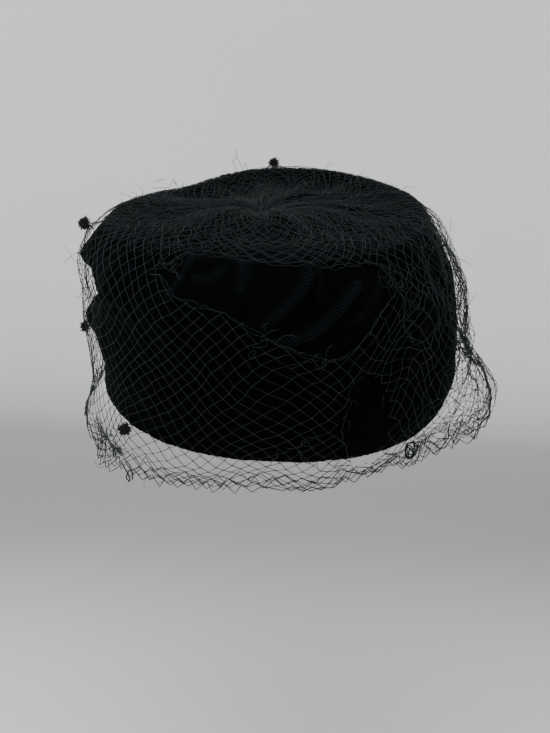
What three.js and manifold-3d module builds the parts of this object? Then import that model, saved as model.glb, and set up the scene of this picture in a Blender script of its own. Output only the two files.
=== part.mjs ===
// A draped velvet pillbox hat with a gathered crown and a coarse net veil, in millimetres.
// Z is up and the back of the hat faces -Y. The origin is the centre of the head opening, level with the rim.
// Round the hat, angles run from the back (0) over the right side (90) to the front (180) and the left (270).
import * as THREE from 'three';
import { ParametricGeometry } from 'three/addons/geometries/ParametricGeometry.js';
import { mergeVertices } from 'three/addons/utils/BufferGeometryUtils.js';
import Module from 'manifold-3d';

// The head opening, measured over the outer edge of the rim.
const RIM_HALF_WIDTH = 91;
const RIM_HALF_DEPTH = 100;
const RIM_SQUARENESS = 2.25;

// Walls.
const VELVET_WALL = 2.6;
const HEM_WALL = 5;
const HEM_HEIGHT = 13;
const HEM_FULL_SHARE = 0.4;
const BELLY_SHARE = 0.42;
const SEAM_LIP = 5;
const INNER_WIDENING = 1.4;
const GAP = 0.35;

// The section's small turns: how far the hem's edge is turned in, its rounding, and the roll into the seam.
const HEM_TURN = { out: -1.5, z: 0 };
const HEM_ROUND = { out: 0.4, z: 1.2 };
const SEAM_ROLL = { out: 1.5, z: -0.6 };

// The side seen in section, a row for each eighth of the way round.
// belly, low, waist, high, shoulder and edge say how far the drape stands outside the rim.
// Each Z is its height, and tuck is how far the crown seam lies below the edge.
const SECTIONS = [
  { angle: 0, belly: 3, lowZ: 20, low: 5, waistZ: 48, waist: 3.5,
    highZ: 72, high: 2.5, shoulderZ: 90, shoulder: -3.5, edgeZ: 97.5, edge: -10, tuck: 1.5 },
  { angle: 45, belly: 3, lowZ: 18, low: 5, waistZ: 50, waist: 2,
    highZ: 70, high: -0.5, shoulderZ: 89, shoulder: -9.5, edgeZ: 97.5, edge: -17, tuck: 2 },
  { angle: 90, belly: 3, lowZ: 15, low: 5, waistZ: 52, waist: 1.5,
    highZ: 66, high: -1.5, shoulderZ: 84, shoulder: -12, edgeZ: 94, edge: -20, tuck: 3 },
  { angle: 135, belly: 2.5, lowZ: 18, low: 4, waistZ: 47, waist: 1,
    highZ: 64, high: -0.5, shoulderZ: 80, shoulder: -9, edgeZ: 90.5, edge: -19, tuck: 4.5 },
  { angle: 180, belly: 3, lowZ: 20, low: 5, waistZ: 42, waist: 2.5,
    highZ: 61, high: 4, shoulderZ: 79, shoulder: -4, edgeZ: 88.5, edge: -14, tuck: 5 },
  { angle: 225, belly: 3, lowZ: 19, low: 6, waistZ: 35, waist: 1,
    highZ: 52, high: 6, shoulderZ: 71, shoulder: -3, edgeZ: 81.5, edge: -15, tuck: 3.5 },
  { angle: 270, belly: -0.5, lowZ: 31, low: 5, waistZ: 48, waist: 1,
    highZ: 65, high: 6.5, shoulderZ: 81, shoulder: 1.5, edgeZ: 88.5, edge: -10.5, tuck: 2.5 },
  { angle: 315, belly: 1, lowZ: 30, low: 3, waistZ: 52, waist: 1.5,
    highZ: 71, high: 4, shoulderZ: 88, shoulder: -2, edgeZ: 96, edge: -9, tuck: 2 },
];

// Folds of the side: ridges, or grooves below 0, that run from one angle and height to another.
// The first three are the deep tuck on the left and the rolls above and below it.
const SIDE_FOLDS = [
  { fromAngle: 284, fromZ: 59, toAngle: 246, toZ: 35, width: 6.5, height: -7.5 },
  { fromAngle: 280, fromZ: 72, toAngle: 256, toZ: 58, width: 8, height: 4.5 },
  { fromAngle: 276, fromZ: 35, toAngle: 250, toZ: 22, width: 9, height: 5.5 },
  { fromAngle: 8, fromZ: 94, toAngle: 6, toZ: 89, width: 5, height: 2.4 },
  { fromAngle: 5, fromZ: 87, toAngle: -3, toZ: 68, width: 5, height: 2.6 },
  { fromAngle: 23, fromZ: 88, toAngle: 3, toZ: 64, width: 5, height: 2.4 },
  { fromAngle: 31, fromZ: 88, toAngle: 21, toZ: 74, width: 5, height: 2 },
  { fromAngle: -26, fromZ: 93, toAngle: -29, toZ: 74, width: 6, height: 1.8 },
  { fromAngle: -8, fromZ: 93, toAngle: -9, toZ: 80, width: 5, height: 1.6 },
  { fromAngle: 52, fromZ: 86, toAngle: 34, toZ: 44, width: 7, height: 1.6 },
  { fromAngle: 76, fromZ: 84, toAngle: 58, toZ: 36, width: 7, height: 1.6 },
  { fromAngle: 112, fromZ: 80, toAngle: 92, toZ: 30, width: 8, height: 1.8 },
  { fromAngle: 158, fromZ: 80, toAngle: 136, toZ: 26, width: 8, height: 1.8 },
  { fromAngle: 202, fromZ: 80, toAngle: 184, toZ: 24, width: 8, height: 1.8 },
  { fromAngle: 236, fromZ: 74, toAngle: 224, toZ: 44, width: 8, height: 1.6 },
  { fromAngle: 308, fromZ: 84, toAngle: 300, toZ: 60, width: 7, height: 1.6 },
];

// The crown is gathered to a pinch, left of the middle, and folds fan out of it.
// Each fold grows over START_BLEND of the way out and dies away over END_BLEND.
const PINCH = { x: -10, y: -1, z: 86.5 };
const PINCH_REACH = 0.55;
const CROWN_LIFT = 4;
const START_BLEND = 0.15;
const END_BLEND = 0.25;
const END_OVERRUN = 0.05;
const CROWN_FOLDS = [
  { angle: 8, width: 7, height: 3, from: 0.1, to: 0.75 },
  { angle: 52, width: 13, height: 2.2, from: 0.15, to: 0.9 },
  { angle: 84, width: 10, height: 2.6, from: 0.15, to: 0.95 },
  { angle: 112, width: 9, height: 2.4, from: 0.12, to: 0.95 },
  { angle: 136, width: 8, height: 2.8, from: 0.1, to: 0.95 },
  { angle: 160, width: 8, height: 2.6, from: 0.1, to: 0.95 },
  { angle: 186, width: 9, height: 2.4, from: 0.1, to: 0.9 },
  { angle: 214, width: 10, height: 2.4, from: 0.12, to: 0.95 },
  { angle: 262, width: 26, height: 4.5, from: 0.05, to: 1 },
  { angle: 318, width: 15, height: 2.8, from: 0.12, to: 0.9 },
];

// The veil: a net that runs from a gather on the crown, over the side, to a hem below the rim.
const VEIL_LIFT = 3;
const CROWN_LIFT_LOSS = 0.6;
const HIGH_LIFT_GAIN = 0.6;
const WAIST_BRIDGE = { least: 2, sag: 1 };
const EDGE_ROUND = { edgeOut: -3, shoulderOut: 2, shoulderZ: 1.5 };
const RIM_FLARE = { out: 2, share: 0.5 };
const LOW_PUFF_SHARE = 0.8;
const CROWN_REACHES = [0.4, 0.7];
const VEIL_THICKNESS = 1;
const VEIL_COLUMNS = 14;
const VEIL_TURN = -13;
const VEIL_ROWS = 7;
const CROSSING_HALF_SIZE = 1.56;
const CROSSING_MOST_PITCH = 0.2;
const STRAND_STEPS = 3;
const GATHER_REACH = 0.16;
const GATHER_BAND = 0.03;
const HEM_BAND = 0.012;
const EDGE_ALONG = 0.38;

// How the net hangs: its drop below the rim, its flare at the hem and its puff half way up, by angle.
const VEIL_HANG = [
  { angle: 0, drop: 12, flare: 4, puff: 0 },
  { angle: 45, drop: 10.5, flare: 3, puff: 0 },
  { angle: 90, drop: 11, flare: 29, puff: 9 },
  { angle: 135, drop: 13, flare: 13, puff: 3 },
  { angle: 180, drop: 15, flare: 7, puff: 1 },
  { angle: 225, drop: 15, flare: 6, puff: 0 },
  { angle: 270, drop: 14, flare: 6, puff: 0 },
  { angle: 315, drop: 18, flare: 12, puff: 0 },
];

// The places where the net's two ends part at the back, outlined by angle and height.
const OPENING_BAND = 2.6;
const OPENING_BAND_THICKNESS = 1.6;
const OPENING_DEPTH = 16;
const EYE_OPENING = [
  { angle: -36, z: 89 },
  { angle: -22, z: 94 },
  { angle: 2, z: 94.5 },
  { angle: 24, z: 93.5 },
  { angle: 32, z: 87 },
  { angle: 26, z: 72 },
  { angle: 16, z: 60.5 },
  { angle: 6, z: 61 },
  { angle: -8, z: 75 },
  { angle: -24, z: 82.5 },
];
const SLIT_OPENING = [
  { angle: 19, z: 40 },
  { angle: 27, z: 40 },
  { angle: 29, z: 22 },
  { angle: 28, z: 5 },
  { angle: 21, z: 5 },
  { angle: 19, z: 22 },
];

// Chenille dots of the veil, each on a strand that runs down from a crossing.
// share is how far down the strand a dot sits, and lean is 1 for the strand to the right and -1 to the left.
const DOT_RADIUS = 4.4;
const DOT_DIP = 0.66;
const DOT_FLATTEN = 0.78;
const DOT_TIP_SIZE = 0.1;
const DOTS = [
  { column: 7, row: 3, share: 0.2, lean: 1 },
  { column: 11, row: 3, share: 0, lean: 1 },
  { column: 9, row: 4, share: 0, lean: 1 },
  { column: 6, row: 4, share: 0, lean: 1 },
  { column: 10, row: 5, share: 0.77, lean: 1 },
  { column: 9, row: 5, share: 0.63, lean: -1 },
  { column: 7, row: 5, share: 0.4, lean: 1 },
  { column: 5, row: 5, share: 0.77, lean: 1 },
  { column: 13, row: 6, share: 0.14, lean: -1 },
  { column: 9, row: 6, share: 0.72, lean: -1 },
];

// Mesh density.
const SIDE_SLICES = 72;
const SIDE_OUTER_STEPS = 13;
const SIDE_INNER_STEPS = 10;
const CROWN_SLICES = 48;
const CROWN_OUTER_STEPS = 7;
const CROWN_INNER_STEPS = 3;
const OPENING_STEPS = 2;

// Short steps for measuring the veil's surface, in radians or as a share of the way along.
// Points nearer than the merge distance are one.
const PROBE_STEP = 0.01;
const NORMAL_STEP = 0.004;
const HEIGHT_HALVINGS = 30;
const MERGE_DISTANCE = 1e-3;

const wasm = await Module();
wasm.setup();

const degrees = Math.PI / 180;
const VEIL_PITCH = (2 * Math.PI) / VEIL_COLUMNS;
const clamp = THREE.MathUtils.clamp;
const lerp = THREE.MathUtils.lerp;

// A column of an eight-row table at any angle in radians, run smoothly through its neighbours.
function around(table, column, angle) {
  const place = ((angle / (2 * Math.PI)) * table.length % table.length + table.length) % table.length;
  const row = Math.floor(place);
  const t = place - row;
  const value = (offset) => table[(row + offset + table.length) % table.length][column];
  const [p0, p1, p2, p3] = [value(-1), value(0), value(1), value(2)];
  return p1 + 0.5 * t * (p2 - p0 + t * (2 * p0 - 5 * p1 + 4 * p2 - p3 + t * (3 * (p1 - p2) + p3 - p0)));
}

// A smooth step from 0 to 1 between two edges.
function ramp(x, from, to) {
  const t = clamp((x - from) / (to - from), 0, 1);
  return t * t * (3 - 2 * t);
}

// The difference between two angles in radians, from -pi to pi.
function turn(angle, other) {
  return THREE.MathUtils.euclideanModulo(angle - other + Math.PI, 2 * Math.PI) - Math.PI;
}

// The point that stands a distance outside the rim at an angle, at a height.
function standOut(angle, out, z) {
  const round = (x) => Math.sign(x) * Math.abs(x) ** (2 / RIM_SQUARENESS);
  return new THREE.Vector3(
    (RIM_HALF_WIDTH + out) * round(Math.sin(angle)),
    -(RIM_HALF_DEPTH + out) * round(Math.cos(angle)),
    z,
  );
}

// A smooth curve in section, through pairs of distance outside the rim and height.
function sectionCurve(pairs) {
  return new THREE.CatmullRomCurve3(pairs.map(([out, z]) => new THREE.Vector3(out, z, 0)));
}

// The outer face of the side in section: the rim's turned edge, the two rolls and the seam's lip.
function sideSection(angle) {
  const at = (column) => around(SECTIONS, column, angle);
  return sectionCurve([
    [HEM_TURN.out, HEM_TURN.z],
    [HEM_ROUND.out, HEM_ROUND.z],
    [at('belly'), at('lowZ') * BELLY_SHARE],
    [at('low'), at('lowZ')],
    [at('waist'), at('waistZ')],
    [at('high'), at('highZ')],
    [at('shoulder'), at('shoulderZ')],
    [at('edge') + SEAM_ROLL.out, at('edgeZ') + SEAM_ROLL.z],
    [at('edge') - SEAM_LIP, at('edgeZ') - at('tuck')],
  ]);
}

// How far the folds raise the side at an angle and a height, grooves widened by a factor.
function sideFolds(angle, z, widening = 1) {
  let raised = 0;
  for (const fold of SIDE_FOLDS) {
    const radius = (RIM_HALF_WIDTH + RIM_HALF_DEPTH) / 2;
    const middle = (fold.fromAngle + fold.toAngle) / 2 * degrees;
    const across = turn(angle, middle) * radius;
    const halfRun = (fold.fromAngle - fold.toAngle) / 2 * degrees * radius;
    const halfRise = (fold.fromZ - fold.toZ) / 2;
    const rise = z - (fold.fromZ + fold.toZ) / 2;
    const length = Math.hypot(halfRun, halfRise);
    const along = (across * halfRun + rise * halfRise) / length;
    const aside = (across * halfRise - rise * halfRun) / length;
    const past = Math.max(0, Math.abs(along) - length);
    const width = fold.height < 0 ? fold.width * widening : fold.width;
    raised += fold.height * Math.exp(-((aside / width) ** 2) - (past / width) ** 2);
  }
  return raised;
}

// The velvet side: one wall from the hem turned in at the rim up to the lip of the crown seam.
function sideGeometry() {
  const stacks = SIDE_OUTER_STEPS + SIDE_INNER_STEPS + 2;
  const loops = new Map();
  const loopAt = (angle) => {
    const key = angle.toFixed(6);
    if (!loops.has(key)) loops.set(key, sideLoop(angle));
    return loops.get(key);
  };
  return new ParametricGeometry((u, v, target) => {
    target.copy(loopAt(u * 2 * Math.PI)[Math.round(v * stacks) % stacks]);
  }, SIDE_SLICES, stacks);
}

// The side's closed section at one angle: up the outer face, then down the inner one.
function sideLoop(angle) {
  const curve = sideSection(angle);
  const loop = [];
  for (let i = 0; i <= SIDE_OUTER_STEPS; i++) {
    const p = curve.getPointAt(i / SIDE_OUTER_STEPS);
    const fold = sideFolds(angle, p.y) * ramp(p.y, 0, HEM_HEIGHT);
    loop.push(standOut(angle, p.x + fold, p.y));
  }
  for (let i = SIDE_INNER_STEPS; i >= 0; i--) {
    const t = i / SIDE_INNER_STEPS;
    const p = curve.getPointAt(t);
    const along = curve.getTangentAt(t);
    const wall = lerp(HEM_WALL, VELVET_WALL, ramp(p.y, HEM_HEIGHT * HEM_FULL_SHARE, HEM_HEIGHT));
    const fold = sideFolds(angle, p.y, INNER_WIDENING) * ramp(p.y, 0, HEM_HEIGHT);
    loop.push(standOut(angle, p.x + fold - along.y * wall, p.y + along.x * wall));
  }
  return loop;
}

// The crown's outer edge at an angle, just inside the lip of the side.
function crownEdge(angle, inset) {
  return standOut(
    angle,
    around(SECTIONS, 'edge', angle) - SEAM_LIP - GAP - inset,
    around(SECTIONS, 'edgeZ', angle) - around(SECTIONS, 'tuck', angle),
  );
}

// How far the crown stands above a straight line from the pinch to the edge, reach going from 0 to 1.
function crownRise(angle, reach) {
  let rise = CROWN_LIFT * Math.sin(Math.PI * Math.sqrt(reach)) ** 2;
  for (const fold of CROWN_FOLDS) {
    const aside = turn(angle, fold.angle * degrees) / (fold.width * degrees);
    const grown = ramp(reach, 0, fold.from + START_BLEND);
    const ended = ramp(reach, fold.to - END_BLEND, fold.to + END_OVERRUN);
    rise += fold.height * Math.exp(-aside * aside) * grown * (1 - ended);
  }
  return rise;
}

// A point of the crown's upper face.
function crownPoint(angle, reach, drop = 0) {
  const edge = crownEdge(angle, 0);
  const pinch = new THREE.Vector3(PINCH.x, PINCH.y, PINCH.z);
  const p = pinch.lerp(edge, reach);
  p.z = lerp(PINCH.z, edge.z, ramp(reach, 0, PINCH_REACH)) + crownRise(angle, reach) - drop;
  return p;
}

// The velvet crown: a gathered disc with a wall, its lower face drawn as the upper one.
function crownGeometry() {
  const stacks = CROWN_OUTER_STEPS + CROWN_INNER_STEPS + 1;
  return new ParametricGeometry((u, v, target) => {
    const angle = u * 2 * Math.PI;
    const step = Math.round(v * stacks);
    if (step <= CROWN_INNER_STEPS) {
      target.copy(crownPoint(angle, step / CROWN_INNER_STEPS, VELVET_WALL));
    } else {
      target.copy(crownPoint(angle, (stacks - step) / CROWN_OUTER_STEPS));
    }
  }, CROWN_SLICES, stacks);
}

// The veil's path at an angle, from the gather on the crown to the hem, clear of the velvet.
function veilPath(angle) {
  const at = (column) => around(SECTIONS, column, angle);
  const hang = (column) => around(VEIL_HANG, column, angle);
  const onCrown = (reach) => {
    const p = crownPoint(angle, reach);
    p.z += VEIL_LIFT - CROWN_LIFT_LOSS;
    return p;
  };
  const low = at('low') + Math.max(0, sideFolds(angle, at('lowZ')));
  const high = at('high') + Math.max(0, sideFolds(angle, at('highZ')));
  const body = Math.max(at('waist') + WAIST_BRIDGE.least, (high + low) / 2 - WAIST_BRIDGE.sag);
  const edgeOut = at('edge') + EDGE_ROUND.edgeOut;
  const shoulderOut = at('shoulder') + VEIL_LIFT + EDGE_ROUND.shoulderOut;
  const lowOut = low + VEIL_LIFT + hang('puff') * LOW_PUFF_SHARE;
  const rimOut = lerp(RIM_FLARE.out, hang('flare'), RIM_FLARE.share) + VEIL_LIFT + hang('puff');
  return new THREE.CatmullRomCurve3([
    onCrown(GATHER_REACH - GATHER_BAND),
    ...CROWN_REACHES.map(onCrown),
    standOut(angle, edgeOut, at('edgeZ') + VEIL_LIFT),
    standOut(angle, shoulderOut, at('shoulderZ') + EDGE_ROUND.shoulderZ),
    standOut(angle, high + VEIL_LIFT + HIGH_LIFT_GAIN, at('highZ')),
    standOut(angle, body + VEIL_LIFT, at('waistZ')),
    standOut(angle, lowOut, at('lowZ')),
    standOut(angle, rimOut, 0),
    standOut(angle, hang('flare') + VEIL_LIFT, -hang('drop')),
  ]);
}

const veilPaths = new Map();

// The veil's path at any angle, worked out once.
function veilPathAt(angle) {
  const within = THREE.MathUtils.euclideanModulo(angle, 2 * Math.PI);
  const key = within.toFixed(6);
  if (!veilPaths.has(key)) veilPaths.set(key, veilPath(within));
  return veilPaths.get(key);
}

// A point of the veil's middle surface, along going from 0 at the gather to 1 at the hem.
function veilPoint(angle, along) {
  return veilPathAt(angle).getPointAt(clamp(along, 0, 1));
}

// How far along the veil its side reaches down to a height.
function veilAlongAt(angle, z) {
  let [above, below] = [EDGE_ALONG, 1];
  for (let i = 0; i < HEIGHT_HALVINGS; i++) {
    const middle = (above + below) / 2;
    if (veilPoint(angle, middle).z > z) above = middle;
    else below = middle;
  }
  return above;
}

// The veil's outward normal, from two short steps on its surface.
function veilNormal(angle, along) {
  const s = clamp(along, NORMAL_STEP, 1 - NORMAL_STEP);
  const across = veilPoint(angle + NORMAL_STEP, s).sub(veilPoint(angle - NORMAL_STEP, s));
  const down = veilPoint(angle, s + NORMAL_STEP).sub(veilPoint(angle, s - NORMAL_STEP));
  return down.cross(across).normalize();
}

// Where a crossing of the lattice lies: its angle, and how far along the veil its row is.
function crossingAngle(column, row) {
  return (column + (row % 2) / 2) * VEIL_PITCH + VEIL_TURN * degrees;
}

function crossingAlong(row) {
  return lerp(GATHER_BAND, 1 - HEM_BAND, row / VEIL_ROWS);
}

// The veil as a lattice of diamonds, its strands crossing in staggered rows, with a gathered ring and a hem.
function veilGeometry() {
  const positions = [];
  const face = (...points) => points.forEach((p) => positions.push(p.x, p.y, p.z));
  const corner = (angle, along) => {
    const middle = veilPoint(angle, along);
    const half = veilNormal(angle, along).multiplyScalar(VEIL_THICKNESS / 2);
    return { top: middle.clone().add(half), base: middle.clone().sub(half) };
  };
  // A patch of the net with its corners in order, seen from outside anticlockwise.
  const patch = (...corners) => {
    for (let i = 1; i + 1 < corners.length; i++) {
      face(corners[0].top, corners[i].top, corners[i + 1].top);
      face(corners[0].base, corners[i + 1].base, corners[i].base);
    }
  };
  // The wall along an open edge of a patch, whose corners are given in the patch's own order.
  const wall = (a, b) => {
    face(a.top, a.base, b.base);
    face(a.top, b.base, b.top);
  };
  const crossings = [];
  for (let row = 0; row <= VEIL_ROWS; row++) {
    const along = crossingAlong(row);
    const rowOfCrossings = [];
    for (let column = 0; column < VEIL_COLUMNS; column++) {
      const angle = crossingAngle(column, row);
      const here = veilPoint(angle, along);
      const inward = along > 0.5 ? -PROBE_STEP : PROBE_STEP;
      const perAngle = veilPoint(angle + PROBE_STEP, along).distanceTo(here) / PROBE_STEP;
      const perAlong = veilPoint(angle, along + inward).distanceTo(here) / PROBE_STEP;
      const da = Math.min(CROSSING_HALF_SIZE / perAngle, VEIL_PITCH * CROSSING_MOST_PITCH);
      const ds = CROSSING_HALF_SIZE / perAlong;
      rowOfCrossings.push({ angle, along, da, ds });
    }
    crossings.push(rowOfCrossings);
  }
  const north = (c) => [c.angle, c.along - c.ds];
  const south = (c) => [c.angle, c.along + c.ds];
  const east = (c) => [c.angle + c.da, c.along];
  const west = (c) => [c.angle - c.da, c.along];
  const solve = ([angle, along]) => corner(angle, along);
  // A strand between two crossings, given the two lines that bound it, both running down the net.
  const strand = (leftFrom, leftTo, rightFrom, rightTo) => {
    let before = null;
    for (let i = 0; i <= STRAND_STEPS; i++) {
      const t = i / STRAND_STEPS;
      const mix = (from, to) => [lerp(from[0], to[0], t), lerp(from[1], to[1], t)];
      const now = { left: solve(mix(leftFrom, leftTo)), right: solve(mix(rightFrom, rightTo)) };
      if (before) {
        patch(before.left, now.left, now.right, before.right);
        wall(before.left, now.left);
        wall(now.right, before.right);
      }
      before = now;
    }
  };
  const shift = (point, turns) => [point[0] + turns * 2 * Math.PI, point[1]];
  for (let row = 0; row <= VEIL_ROWS; row++) {
    for (let column = 0; column < VEIL_COLUMNS; column++) {
      const c = crossings[row][column];
      if (row > 0 && row < VEIL_ROWS) {
        patch(solve(west(c)), solve(south(c)), solve(east(c)), solve(north(c)));
      }
      if (row === VEIL_ROWS) continue;
      const rightColumn = column + (row % 2);
      const leftColumn = rightColumn - 1;
      const rightTurns = Math.floor(rightColumn / VEIL_COLUMNS);
      const leftTurns = Math.floor(leftColumn / VEIL_COLUMNS);
      const right = crossings[row + 1][rightColumn - rightTurns * VEIL_COLUMNS];
      const left = crossings[row + 1][leftColumn - leftTurns * VEIL_COLUMNS];
      strand(south(c), shift(west(right), rightTurns), east(c), shift(north(right), rightTurns));
      strand(west(c), shift(north(left), leftTurns), south(c), shift(east(left), leftTurns));
    }
  }
  // The gathered ring at the top: a band over the first row.
  for (let column = 0; column < VEIL_COLUMNS; column++) {
    const c = crossings[0][column];
    const next = crossings[0][(column + 1) % VEIL_COLUMNS];
    const nextAngle = next.angle + (column + 1 === VEIL_COLUMNS ? 2 * Math.PI : 0);
    const [w, e, n] = [solve(west(c)), solve(east(c)), solve([nextAngle - next.da, next.along])];
    const [uw, ue, un] = [[c.angle - c.da, 0], [c.angle + c.da, 0], [nextAngle - next.da, 0]].map(solve);
    patch(w, solve(south(c)), e);
    patch(uw, w, e, ue);
    patch(ue, e, n, un);
    wall(e, n);
    wall(ue, uw);
    wall(un, ue);
  }
  // The hem: a band under the last row.
  for (let column = 0; column < VEIL_COLUMNS; column++) {
    const c = crossings[VEIL_ROWS][column];
    const next = crossings[VEIL_ROWS][(column + 1) % VEIL_COLUMNS];
    const nextAngle = next.angle + (column + 1 === VEIL_COLUMNS ? 2 * Math.PI : 0);
    const [w, e, n] = [solve(west(c)), solve(east(c)), solve([nextAngle - next.da, next.along])];
    const [lw, le, ln] = [[c.angle - c.da, 1], [c.angle + c.da, 1], [nextAngle - next.da, 1]].map(solve);
    patch(w, e, solve(north(c)));
    patch(w, lw, le, e);
    patch(e, le, ln, n);
    wall(n, e);
    wall(lw, le);
    wall(le, ln);
  }
  const geometry = new THREE.BufferGeometry();
  geometry.setAttribute('position', new THREE.Float32BufferAttribute(positions, 3));
  geometry.computeVertexNormals();
  return geometry;
}

// A closed geometry as a solid, and a solid as a geometry.
function solidOf(geometry) {
  const bare = new THREE.BufferGeometry().setAttribute('position', geometry.getAttribute('position'));
  if (geometry.index) bare.setIndex(geometry.index);
  const merged = mergeVertices(bare, MERGE_DISTANCE);
  return new wasm.Manifold(new wasm.Mesh({
    numProp: 3,
    vertProperties: merged.attributes.position.array,
    triVerts: new Uint32Array(merged.index.array),
  }));
}

function geometryOf(solid) {
  const mesh = solid.getMesh();
  const geometry = new THREE.BufferGeometry();
  geometry.setAttribute('position', new THREE.BufferAttribute(mesh.vertProperties, 3));
  geometry.setIndex(new THREE.BufferAttribute(mesh.triVerts, 1));
  return geometry.toNonIndexed();
}

// The outline of an opening, moved outwards on the veil's surface by a distance and off it by a height.
function openingLoop(outline, outwards, height) {
  const radius = (RIM_HALF_WIDTH + RIM_HALF_DEPTH) / 2 * degrees;
  const middle = outline.reduce((sum, row) => sum + row.angle, 0) / outline.length;
  const corners = outline.map((row) => new THREE.Vector3((row.angle - middle) * radius, row.z, 0));
  const curve = new THREE.CatmullRomCurve3(corners, true, 'centripetal');
  const steps = outline.length * OPENING_STEPS;
  return Array.from({ length: steps }, (_, i) => {
    const p = curve.getPoint(i / steps);
    const along = curve.getTangent(i / steps);
    const angle = (middle + (p.x - along.y * outwards) / radius) * degrees;
    const share = veilAlongAt(angle, p.y + along.x * outwards);
    return veilPoint(angle, share).addScaledVector(veilNormal(angle, share), height);
  });
}

// A closed ring or plug between loops of equal length, each joined to the next and the last to the first.
function loopsGeometry(loops, capped) {
  const positions = [];
  const face = (...points) => points.forEach((p) => positions.push(p.x, p.y, p.z));
  const count = loops[0].length;
  const pairs = capped ? loops.length - 1 : loops.length;
  for (let k = 0; k < pairs; k++) {
    const [from, to] = [loops[k], loops[(k + 1) % loops.length]];
    for (let i = 0; i < count; i++) {
      const next = (i + 1) % count;
      face(from[i], to[next], from[next]);
      face(from[i], to[i], to[next]);
    }
  }
  if (capped) {
    const centre = (loop) => loop.reduce((sum, p) => sum.add(p), new THREE.Vector3()).divideScalar(count);
    const [first, last] = [loops[0], loops[loops.length - 1]];
    const [firstCentre, lastCentre] = [centre(first), centre(last)];
    for (let i = 0; i < count; i++) {
      const next = (i + 1) % count;
      face(firstCentre, first[i], first[next]);
      face(lastCentre, last[next], last[i]);
    }
  }
  const geometry = new THREE.BufferGeometry();
  geometry.setAttribute('position', new THREE.Float32BufferAttribute(positions, 3));
  return geometry;
}

// The veil with its openings cut through, each edged with a bunched band of net.
function openedVeilGeometry() {
  const openings = [EYE_OPENING, SLIT_OPENING];
  const half = OPENING_BAND_THICKNESS / 2;
  return geometryOf(openings.reduce((veil, outline) => {
    const plug = loopsGeometry([
      openingLoop(outline, 0, -OPENING_DEPTH),
      openingLoop(outline, 0, OPENING_DEPTH),
    ], true);
    const band = loopsGeometry([
      openingLoop(outline, OPENING_BAND, -half),
      openingLoop(outline, OPENING_BAND, half),
      openingLoop(outline, 0, half),
      openingLoop(outline, 0, -half),
    ], false);
    return veil.subtract(solidOf(plug)).add(solidOf(band));
  }, solidOf(veilGeometry())));
}

// A chenille dot: a small ball of tufts, flattened against the net.
function dotGeometry() {
  const geometry = new THREE.IcosahedronGeometry(DOT_RADIUS, 1);
  const tips = new THREE.IcosahedronGeometry(DOT_RADIUS, 0).attributes.position;
  const positions = geometry.attributes.position;
  const p = new THREE.Vector3();
  const tip = new THREE.Vector3();
  for (let i = 0; i < positions.count; i++) {
    p.fromBufferAttribute(positions, i);
    let nearest = Infinity;
    for (let k = 0; k < tips.count; k++) {
      nearest = Math.min(nearest, tip.fromBufferAttribute(tips, k).distanceTo(p));
    }
    if (nearest > DOT_TIP_SIZE * DOT_RADIUS) p.multiplyScalar(DOT_DIP);
    positions.setXYZ(i, p.x, p.y, p.z * DOT_FLATTEN);
  }
  return geometry;
}

const velvet = new THREE.MeshStandardMaterial({ color: 0x0b0b0d, roughness: 0.95, metalness: 0 });
const net = new THREE.MeshStandardMaterial({ color: 0x1c1c1d, roughness: 0.6, metalness: 0 });
const chenille = new THREE.MeshStandardMaterial({ color: 0x121213, roughness: 1, metalness: 0 });

const group = new THREE.Group();

// A named piece of the hat.
function piece(name, geometry, material) {
  const mesh = new THREE.Mesh(geometry, material);
  mesh.name = name;
  group.add(mesh);
  return mesh;
}

piece('side_drape', sideGeometry(), velvet);
piece('crown_tip', crownGeometry(), velvet);
piece('veil_net', openedVeilGeometry(), net);

DOTS.forEach((dot, i) => {
  const mesh = piece(`veil_dot_${String(i + 1).padStart(2, '0')}`, dotGeometry(), chenille);
  const angle = crossingAngle(dot.column, dot.row) + dot.lean * dot.share * VEIL_PITCH / 2;
  const along = crossingAlong(dot.row + dot.share);
  const normal = veilNormal(angle, along);
  const clear = VEIL_THICKNESS / 2 + GAP + DOT_RADIUS * DOT_FLATTEN;
  mesh.position.copy(veilPoint(angle, along)).addScaledVector(normal, clear);
  mesh.quaternion.setFromUnitVectors(new THREE.Vector3(0, 0, 1), normal);
});

export default group;
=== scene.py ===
"""Dresses a draped pillbox hat: gathered velvet, a knotted net veil with loose threads, and chenille dots.

Sizes in the tables are millimetres and degrees, and on the stage metres. Round the hat, angles run from the
back (0) over the right side (90) to the front (180) and the left (270). The veil's along runs from 0 at its
gather to 1 at its hem.
"""

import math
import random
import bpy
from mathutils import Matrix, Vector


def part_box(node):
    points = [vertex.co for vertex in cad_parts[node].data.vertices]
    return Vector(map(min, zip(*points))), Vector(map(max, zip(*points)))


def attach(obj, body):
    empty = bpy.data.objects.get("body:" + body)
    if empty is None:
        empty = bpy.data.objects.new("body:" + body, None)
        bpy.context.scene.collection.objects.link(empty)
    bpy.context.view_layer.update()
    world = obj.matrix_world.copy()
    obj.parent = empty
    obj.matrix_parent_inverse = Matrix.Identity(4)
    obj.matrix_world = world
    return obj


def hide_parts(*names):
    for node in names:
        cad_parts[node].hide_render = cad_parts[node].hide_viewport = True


bl_info = {
    "name": "Draped Pillbox Hat",
    "version": (1, 0, 0),
    "blender": (4, 5, 0),
    "location": "3D View > Sidebar > Pillbox Hat",
    "description": "Makes the velvet, the net veil and the chenille dots of a draped pillbox hat",
    "category": "Object",
}

from collections import namedtuple
from functools import cache

import bmesh
import bpy
import numpy as np
from bpy.props import FloatProperty, FloatVectorProperty, IntProperty, PointerProperty
from mathutils import Matrix, Vector, noise
from mathutils.bvhtree import BVHTree

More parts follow.
